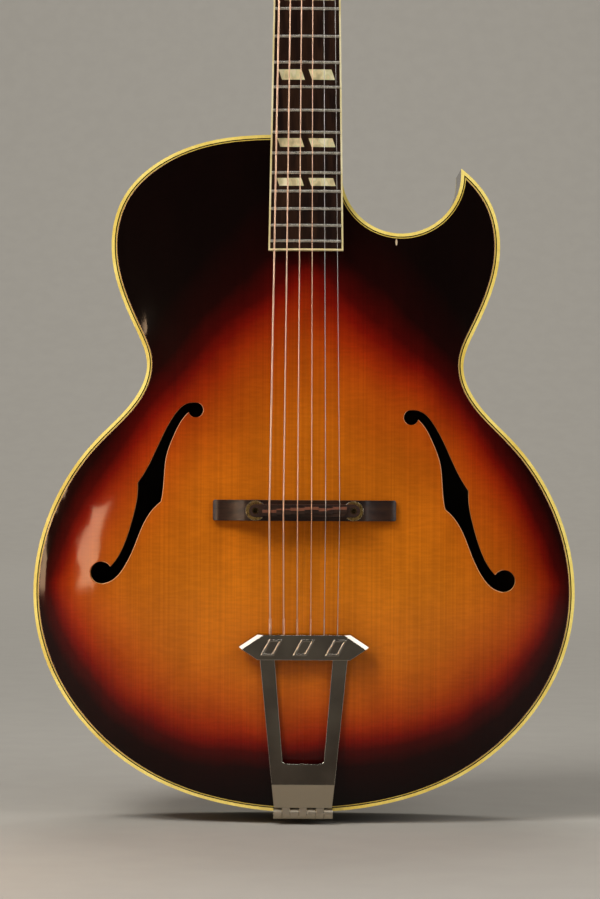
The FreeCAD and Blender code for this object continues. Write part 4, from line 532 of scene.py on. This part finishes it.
def make_finishes():
    """Every finish on the guitar, by name."""
    along_board = ((5.3, 5.3, 71), (1.1, 1.1, 22))
    along_bridge = ((62.5, 5, 5), (20, 1.1, 1.1))
    return {
        "top": sunburst_spruce(),
        "back": sunburst_maple(),
        "rim": flamed_maple("stained_rim", "#120704", "#2c1109", (10.5, 111, 10.5), (16.7, 2.4, 16.7), 0.8),
        "neck": flamed_maple("stained_neck", "#140a06", "#24120a", (33, 33, 14.3), (2.4, 2.4, 83), 0.7),
        "inside": bare_wood(),
        "board": rosewood("rosewood_board", *along_board, 0.1 * MM, 0.45, "#2a1710"),
        "bridge": rosewood("rosewood_bridge", *along_bridge, 0.5 * MM, 0.3, "#3a2418"),
        "saddle": rosewood("rosewood_saddle", *along_bridge, 0.3 * MM, 0.4, "#55301f"),
        "cream": celluloid("cream_celluloid", "#f6e07c", "#dfc056"),
        "board_edge": celluloid("pale_celluloid", "#e6dab0", "#d2bf86"),
        "line": celluloid("yellowed_line", "#cbb254", "#b3963f"),
        "black": celluloid("black_celluloid", "#0b0a0a", "#131111"),
        "ivory": celluloid("ivory_celluloid", "#e6d9b4", "#d3c08c", 0.3),
        "bone": celluloid("polished_bone", "#e7ddc6", "#d6c7a3", 0.35),
        "pearl": shell_pearl(),
        "nickel": tailpiece_plating(),
        "fine_nickel": plating("fine_nickel", "#c6bdae", "#a79d8c", 0.2, 0.15 * MM),
        "frets": plating("fret_wire", "#ded8cc", "#bdb5a6", 0.3, 0.0, 3.3),
        "brass": plating("tarnished_brass", "#c4a464", "#957a47", 0.3, 0.2 * MM, 2.5),
        # On the bridge posts this dark brass is partly tarnish and partly painted shade of the holes they
        # stand in.
        "dark_brass": plating("dark_brass", "#4a3b22", "#2a2114", 0.5, 0.2 * MM, 2.5),
        "steel": plating("plain_steel", "#a9a49c", "#6f6a63", 0.35, 0.0, 5),
        "wire": string_wire(),
    }


def dress_nodes(finishes):
    """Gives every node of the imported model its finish."""
    tuners = range(1, 7)
    worn_by = {
        "top": ["top_bass", "top_treble"],
        "back": ["back_bass", "back_treble"],
        "rim": ["rim_bass", "rim_treble", "rim_cutaway"],
        "neck": ["neck"],
        "inside": ["linings", "neck_block", "tail_block", "tone_bars"],
        "board": ["fingerboard"],
        "bridge": ["bridge_base"],
        "saddle": ["bridge_saddle"],
        "cream": ["binding_top", "binding_back", "heel_cap"],
        "board_edge": ["fingerboard_binding"],
        "line": ["purfling_white"],
        "black": ["purfling_black", "head_veneer", "truss_rod_cover"],
        "pearl": ["inlays"],
        "bone": ["nut"],
        "nickel": ["tailpiece_frame", "tailpiece_crest", "tailpiece_bracket"],
        "fine_nickel": [
            "tuner_housings",
            "bracket_screws",
            "tuner_bushings",
            "head_screws",
            *(f"string_post_{number}" for number in tuners),
            *(f"tuner_shaft_{number}" for number in tuners),
        ],
        "frets": ["frets"],
        "brass": ["thumbwheel_bass", "thumbwheel_treble"],
        "dark_brass": ["bridge_posts", "hinge_pin"],
        "steel": ["truss_rod"],
        "wire": ["strings_speaking", "strings_tail", "strings_head"],
        "ivory": ["strap_button", *(f"tuner_button_{number}" for number in tuners)],
    }
    for finish, names in worn_by.items():
        for name in names:
            node = nodes[name]
            node.data.materials.clear()
            node.data.materials.append(finishes[finish])
            softer(node)


def finish_piece(shape, name, material, body, slot, *stands_for):
    """Makes a bmesh a piece that rides on a body, in place of some CAD nodes or none."""
    bmesh.ops.remove_doubles(shape, verts=shape.verts, dist=0.0005 * MM)
    bmesh.ops.holes_fill(shape, edges=shape.edges)
    bmesh.ops.recalc_face_normals(shape, faces=shape.faces)
    mesh = bpy.data.meshes.new(name)
    shape.to_mesh(mesh)
    shape.free()
    mesh.materials.append(material)
    piece = bpy.data.objects.new(name, mesh)
    bpy.context.scene.collection.objects.link(piece)
    smooth = piece.modifiers.new("smooth_light", "NODES")
    smooth.node_group = SMOOTH_LIGHT
    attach(piece, body)
    if stands_for:
        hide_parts(*stands_for)


def join(whole, part):
    """Adds one bmesh to another and frees it."""
    mesh = bpy.data.meshes.new("part")
    part.to_mesh(mesh)
    part.free()
    whole.from_mesh(mesh)
    bpy.data.meshes.remove(mesh)


def ring(shape, centre, way, radius, sides):
    """Circle of edges round a point, across a direction."""
    place = Matrix.Translation(centre) @ way.to_track_quat("Z", "Y").to_matrix().to_4x4()
    verts = bmesh.ops.create_circle(shape, radius=radius, segments=sides, matrix=place)["verts"]
    return list({edge for vert in verts for edge in vert.link_edges})


def tube(shape, start, end, radius):
    """Straight wire, its ends left open."""
    edges = ring(shape, start, end - start, radius, WIRE_SIDES)
    walls = bmesh.ops.extrude_edge_only(shape, edges=edges)["geom"]
    far = [item for item in walls if isinstance(item, bmesh.types.BMVert)]
    bmesh.ops.translate(shape, verts=far, vec=end - start)


def coil(shape, edges, foot, axis, turns, climb, steps):
    """Winds a ring of edges round an axis, in the right-hand sense for positive turns."""
    bmesh.ops.spin(
        shape,
        geom=edges,
        cent=foot,
        axis=axis,
        dvec=axis * (climb / steps),
        angle=2 * math.pi * turns,
        steps=steps,
        use_merge=False,
        use_duplicate=False,
    )


def string_x(index, width):
    return width * (index / (len(STRING_DIAMETERS) - 1) - 0.5)


def over_board(index, width, reach, rise):
    """Middle of a string at a distance from the nut."""
    x = string_x(index, width)
    out = BOARD_THICKNESS + rise - x**2 / (2 * BOARD_RADIUS) + STRING_DIAMETERS[index] / 2
    return NECK_FRAME @ Vector((x, -reach, out))


def nut_point(index):
    return over_board(index, NUT_SPREAD, 0.0, NUT_ACTION)


def saddle_point(index):
    return over_board(index, BRIDGE_SPREAD, SCALE + COMPENSATION[index], BRIDGE_RISE)


def post_place(index):
    """Foot of a string post in the head's frame."""
    return HEAD_FRAME.inverted() @ Vector(joints[f"string_post_{index + 1}_turn"]["pos_m"])


def played_strings(material):
    shape = bmesh.new()
    for index, diameter in enumerate(STRING_DIAMETERS):
        start = nut_point(index)
        end = saddle_point(index)
        along = (end - start).normalized()
        tube(shape, start + along * NUT_GAP, end - along * SADDLE_GAP, diameter / 2)
    finish_piece(shape, "strings_played", material, "strings", "steel", "strings_speaking")


def anchored_strings(material):
    """Wires from the tailpiece to the saddle, each with its ball end and twisted wrap."""
    shape = bmesh.new()
    for index, diameter in enumerate(STRING_DIAMETERS):
        radius = diameter / 2
        start = Vector((string_x(index, TAIL_SPREAD), *BALL_PLACE))
        end = saddle_point(index)
        along = (end - start).normalized()
        tube(shape, start, end - along * SADDLE_GAP, radius)
        wrap = radius * (TWIST_SHARE - 1) / 2
        turns = math.floor(TWIST_REACH / (2 * wrap))
        outwards = along.orthogonal().normalized()
        first = ring(shape, start + outwards * (radius + wrap), along.cross(outwards), wrap, 5)
        coil(shape, first, start, along, turns, TWIST_REACH, turns * 10)
        place = Matrix.Translation(start) @ Matrix.Rotation(math.pi / 2, 4, "Y")
        sides = {"radius1": BALL_RADIUS, "radius2": BALL_RADIUS, "depth": BALL_LENGTH}
        ball = bmesh.ops.create_cone(shape, cap_ends=True, segments=24, matrix=place, **sides)
        caps = {face for vert in ball["verts"] for face in vert.link_faces if len(face.verts) > 4}
        rims = {edge for face in caps for edge in face.edges}
        bmesh.ops.bevel(
            shape, geom=list(rims), offset=0.4 * MM, affect="EDGES", segments=3, profile=0.5, material=-1
        )
    finish_piece(shape, "strings_anchored", material, "tailpiece", "steel", "strings_tail")


def wound_strings(material):
    """Wires from the nut to the posts and round them, each drawn on the treble side of the head."""
    whole = bmesh.new()
    axis = Vector((0, 0, 1))
    for index, diameter in enumerate(STRING_DIAMETERS):
        radius = diameter / 2
        post = post_place(index)
        mirror = Matrix.Diagonal((math.copysign(1, post.x), 1, 1, 1))
        post = mirror @ post
        start = mirror @ HEAD_FRAME.inverted() @ (nut_point(index) + NECK_UP * NUT_GAP)
        turn_radius = POST_RADIUS + radius
        gap = post - start
        lean = math.acos(turn_radius / math.hypot(gap.x, gap.y))
        bearing = math.atan2(gap.y, gap.x) + math.pi - lean
        outwards = Vector((math.cos(bearing), math.sin(bearing), 0))
        foot = Vector((post.x, post.y, WINDING_START))
        touch = foot + outwards * turn_radius
        shape = bmesh.new()
        tube(shape, touch, start, radius)
        turns = WINDING_TURNS[index]
        first = ring(shape, touch, outwards.cross(axis), radius, WIRE_SIDES)
        coil(shape, first, foot, axis, -turns, turns * (diameter + WINDING_GAP), round(turns * 32))
        bmesh.ops.transform(shape, verts=shape.verts, matrix=HEAD_FRAME @ mirror)
        bmesh.ops.holes_fill(shape, edges=shape.edges)
        join(whole, shape)
    finish_piece(whole, "strings_wound", material, "guitar", "steel", "strings_head")


def screw_head(whole, place, radius, height):
    """Low cone with a driver slot across its top, standing on a frame's XY plane."""
    slot_half = radius * 0.13
    shape = bmesh.new()
    middle = Matrix.Translation((0, 0, height / 2))
    sizes = {"radius1": radius, "radius2": radius * 0.62, "depth": height}
    bmesh.ops.create_cone(shape, cap_ends=True, segments=36, matrix=middle, **sizes)
    for y in (-slot_half, slot_half):
        every = [*shape.verts, *shape.edges, *shape.faces]
        bmesh.ops.bisect_plane(shape, geom=every, plane_co=(0, y, 0), plane_no=(0, 1, 0))
    upper = [face for face in shape.faces if face.normal.z > 0.9]
    slot = [face for face in upper if abs(face.calc_center_median().y) < slot_half]
    floor = bmesh.ops.extrude_face_region(shape, geom=slot)["geom"]
    sunk = [item for item in floor if isinstance(item, bmesh.types.BMVert)]
    bmesh.ops.delete(shape, geom=slot, context="FACES_ONLY")
    bmesh.ops.translate(shape, verts=sunk, vec=(0, 0, -height * 0.55))
    bmesh.ops.transform(shape, verts=shape.verts, matrix=place)
    join(whole, shape)


def screws(material):
    """Slotted heads of the screws in the tailpiece bracket, the tuner housings and the rod cover."""
    down = Matrix.Rotation(math.pi, 4, "X")
    shape = bmesh.new()
    for number, (x, y) in enumerate(BRACKET_SCREWS):
        turn = Matrix.Rotation(0.7 + 1.1 * number, 4, "Z")
        screw_head(shape, Matrix.Translation((x, y, BRACKET_FACE)) @ down @ turn, *BRACKET_SCREW)
    finish_piece(shape, "bracket_screw_heads", material, "guitar", "nickel", "bracket_screws")
    shape = bmesh.new()
    for index in range(len(STRING_DIAMETERS)):
        post = post_place(index)
        for side, ear in enumerate(EAR_SCREWS):
            turn = Matrix.Rotation(0.5 + 1.9 * index + 0.8 * side, 4, "Z")
            place = Matrix.Translation((post.x, post.y + ear, EAR_FACE)) @ down @ turn
            screw_head(shape, HEAD_FRAME @ place, *SMALL_SCREW)
    for side in (-1, 1):
        turn = Matrix.Rotation(0.9 * side, 4, "Z")
        place = Matrix.Translation((side * COVER_SCREW[0], *COVER_SCREW[1:])) @ turn
        screw_head(shape, HEAD_FRAME @ place, *SMALL_SCREW)
    finish_piece(shape, "head_screw_heads", material, "guitar", "nickel", "head_screws")


def fret_at(number):
    return SCALE * (1 - 2 ** (-number / OCTAVE_FRET))


def side_dots(material):
    """Position dots let into the bass edge of the fingerboard, two at the octave."""
    shape = bmesh.new()
    across = Matrix.Rotation(math.pi / 2, 4, "Y")
    sizes = {"radius1": SIDE_DOT_RADIUS, "radius2": SIDE_DOT_RADIUS, "depth": 2 * SIDE_DOT_PROUD}
    for number in SIDE_DOT_FRETS:
        middle = (fret_at(number - 1) + fret_at(number)) / 2
        offsets = (-TWIN_DOT_SPACING / 2, TWIN_DOT_SPACING / 2) if number == OCTAVE_FRET else (0.0,)
        for offset in offsets:
            reach = middle + offset
            half = (NUT_WIDTH + (BOARD_END_WIDTH - NUT_WIDTH) * reach / BOARD_LENGTH) / 2
            place = NECK_FRAME @ Matrix.Translation((-half, -reach, SIDE_DOT_HEIGHT)) @ across
            bmesh.ops.create_cone(shape, cap_ends=True, segments=24, matrix=place, **sizes)
    finish_piece(shape, "side_dots", material, "guitar", "black_celluloid")


def paper_sweep():
    """Pale paper: a floor that curves up behind the guitar, painted darker towards the front, out of view, as
    shade for the metal to reflect.
    """
    floor = cad_box[0][2]
    shape = bmesh.new()
    front = shape.edges.new([shape.verts.new((x, SWEEP_FRONT, floor)) for x in (-SWEEP_HALF, SWEEP_HALF)])
    depth = bmesh.ops.extrude_edge_only(shape, edges=[front])["geom"]
    far = [item for item in depth if isinstance(item, bmesh.types.BMVert)]
    bmesh.ops.translate(shape, verts=far, vec=(0, SWEEP_LENGTH, 0))
    fold = [item for item in depth if isinstance(item, bmesh.types.BMEdge)][:1]
    wall = bmesh.ops.extrude_edge_only(shape, edges=fold)["geom"]
    top = [item for item in wall if isinstance(item, bmesh.types.BMVert)]
    bmesh.ops.translate(shape, verts=top, vec=(0, 0, SWEEP_HEIGHT))
    bmesh.ops.bevel(
        shape, geom=fold, offset=SWEEP_CURVE, affect="EDGES", segments=24, profile=0.5, material=-1
    )
    mesh = bpy.data.meshes.new("paper_sweep")
    shape.to_mesh(mesh)
    shape.free()
    for face in mesh.polygons:
        face.use_smooth = True
    material, tree, shader = new_material("pale_paper", Roughness=0.9, Specular_IOR_Level=0.2)
    fibres = mottle(tree, (40, 40, 40), 0.985, 1.015)
    # Painted shade: the paper darkens towards the front so that metal reflects it dark.
    reach = {"Value": place_axes(tree)["Y"], "From Min": -2.5, "From Max": -0.5}
    near = add(tree, "ShaderNodeMapRange", EASED, reach).outputs[0]
    colour = add(tree, "ShaderNodeMix", BLEND, {0: near, 6: srgb("#8a857d"), 7: srgb("#a39e95")}).outputs[2]
    colour = add(tree, "ShaderNodeMix", TINT, {0: 1.0, 6: colour, 7: fibres}).outputs[2]
    tree.links.new(colour, shader.inputs["Base Color"])
    mesh.materials.append(material)
    sweep = bpy.data.objects.new("paper_sweep", mesh)
    bpy.context.scene.collection.objects.link(sweep)


def bright_pieces(finishes):
    """Metal, strings and bridge, which the strip lights reach and the lacquer's gloss doesn't show."""
    names = ("nickel", "fine_nickel", "frets", "brass", "dark_brass", "wire", "bridge", "saddle")
    wanted = [finishes[name] for name in names]
    group = bpy.data.collections.new("bright_pieces")
    for item in bpy.context.scene.objects:
        if item.type == "MESH" and item.data.materials[0] in wanted:
            group.objects.link(item)
    return group


def lights(bright):
    """Soft boxes that stay out of reflections, a strip for the gloss, and strips for the bright pieces."""
    boxes = (
        ("key_box", (-1.5, -1.8, 2.6), (0, 0, 0.35), (1.4, 1.4), 86, WHITE, False, None),
        ("fill_box", (2.0, -1.7, 1.6), (0, 0, 0.35), (1.4, 1.8), 34, WHITE, False, None),
        ("back_light", (0, 4.5, 7), (0, 7.5, 0), (5, 4), 450, WHITE, False, None),
        ("front_light", (0, -6, 6), (0, -8.5, 0), (5, 4), 170, WHITE, False, None),
        ("window_strip", STRIP_PLACE, STRIP_AIM, (0.045, 0.16), 0.55, "#ffd2a6", True, None),
        ("left_strip", (-1.5, -1.2, 0.5), (0, 0, 0.3), (0.5, 1.5), 9, WHITE, True, bright),
        ("right_strip", (1.5, -1.2, 0.5), (0, 0, 0.3), (0.5, 1.5), 9, WHITE, True, bright),
        ("top_strip", (0, -1.3, 2.2), (0, 0, 0.3), (1.6, 0.25), 7, WHITE, True, bright),
        ("left_edge_box", (-1.6, -0.25, 1.5), (0, 0, 0.2), (0.9, 0.9), 30, WHITE, True, bright),
        ("right_edge_box", (1.6, -0.25, 1.5), (0, 0, 0.2), (0.9, 0.9), 30, WHITE, True, bright),
    )
    for name, place, aim, size, power, tint, mirrored, reached in boxes:
        light = bpy.data.lights.new(name, "AREA")
        light.shape = "RECTANGLE"
        light.size, light.size_y = size
        light.energy = power
        light.color = srgb(tint)[:3]
        lamp = bpy.data.objects.new(name, light)
        lamp.location = place
        lamp.rotation_euler = (Vector(aim) - Vector(place)).to_track_quat("-Z", "Y").to_euler()
        lamp.visible_glossy = mirrored
        lamp.light_linking.receiver_collection = reached
        bpy.context.scene.collection.objects.link(lamp)
    world = bpy.data.worlds.new("studio_air")
    world.use_nodes = True
    air = world.node_tree.nodes["Background"]
    air.inputs["Color"].default_value = srgb("#8d8a86")
    air.inputs["Strength"].default_value = 0.14
    bpy.context.scene.world = world


def front_camera():
    camera = bpy.data.cameras.new("front_camera")
    camera.sensor_fit = "VERTICAL"
    camera.sensor_height = SENSOR
    camera.lens = SENSOR * VIEW_DISTANCE / VIEW_HEIGHT
    camera.clip_end = 50
    stand = bpy.data.objects.new("front_camera", camera)
    stand.location = (VIEW_CENTRE[0], RIM_PLANE - VIEW_DISTANCE, VIEW_CENTRE[1])
    stand.rotation_euler = (math.pi / 2, math.radians(-VIEW_ROLL), 0)
    bpy.context.scene.collection.objects.link(stand)
    bpy.context.scene.camera = stand


finishes = make_finishes()
dress_nodes(finishes)
played_strings(finishes["wire"])
anchored_strings(finishes["wire"])
wound_strings(finishes["wire"])
screws(finishes["fine_nickel"])
side_dots(finishes["black"])
paper_sweep()
lights(bright_pieces(finishes))
front_camera()
bpy.context.scene.view_settings.view_transform = "Standard"
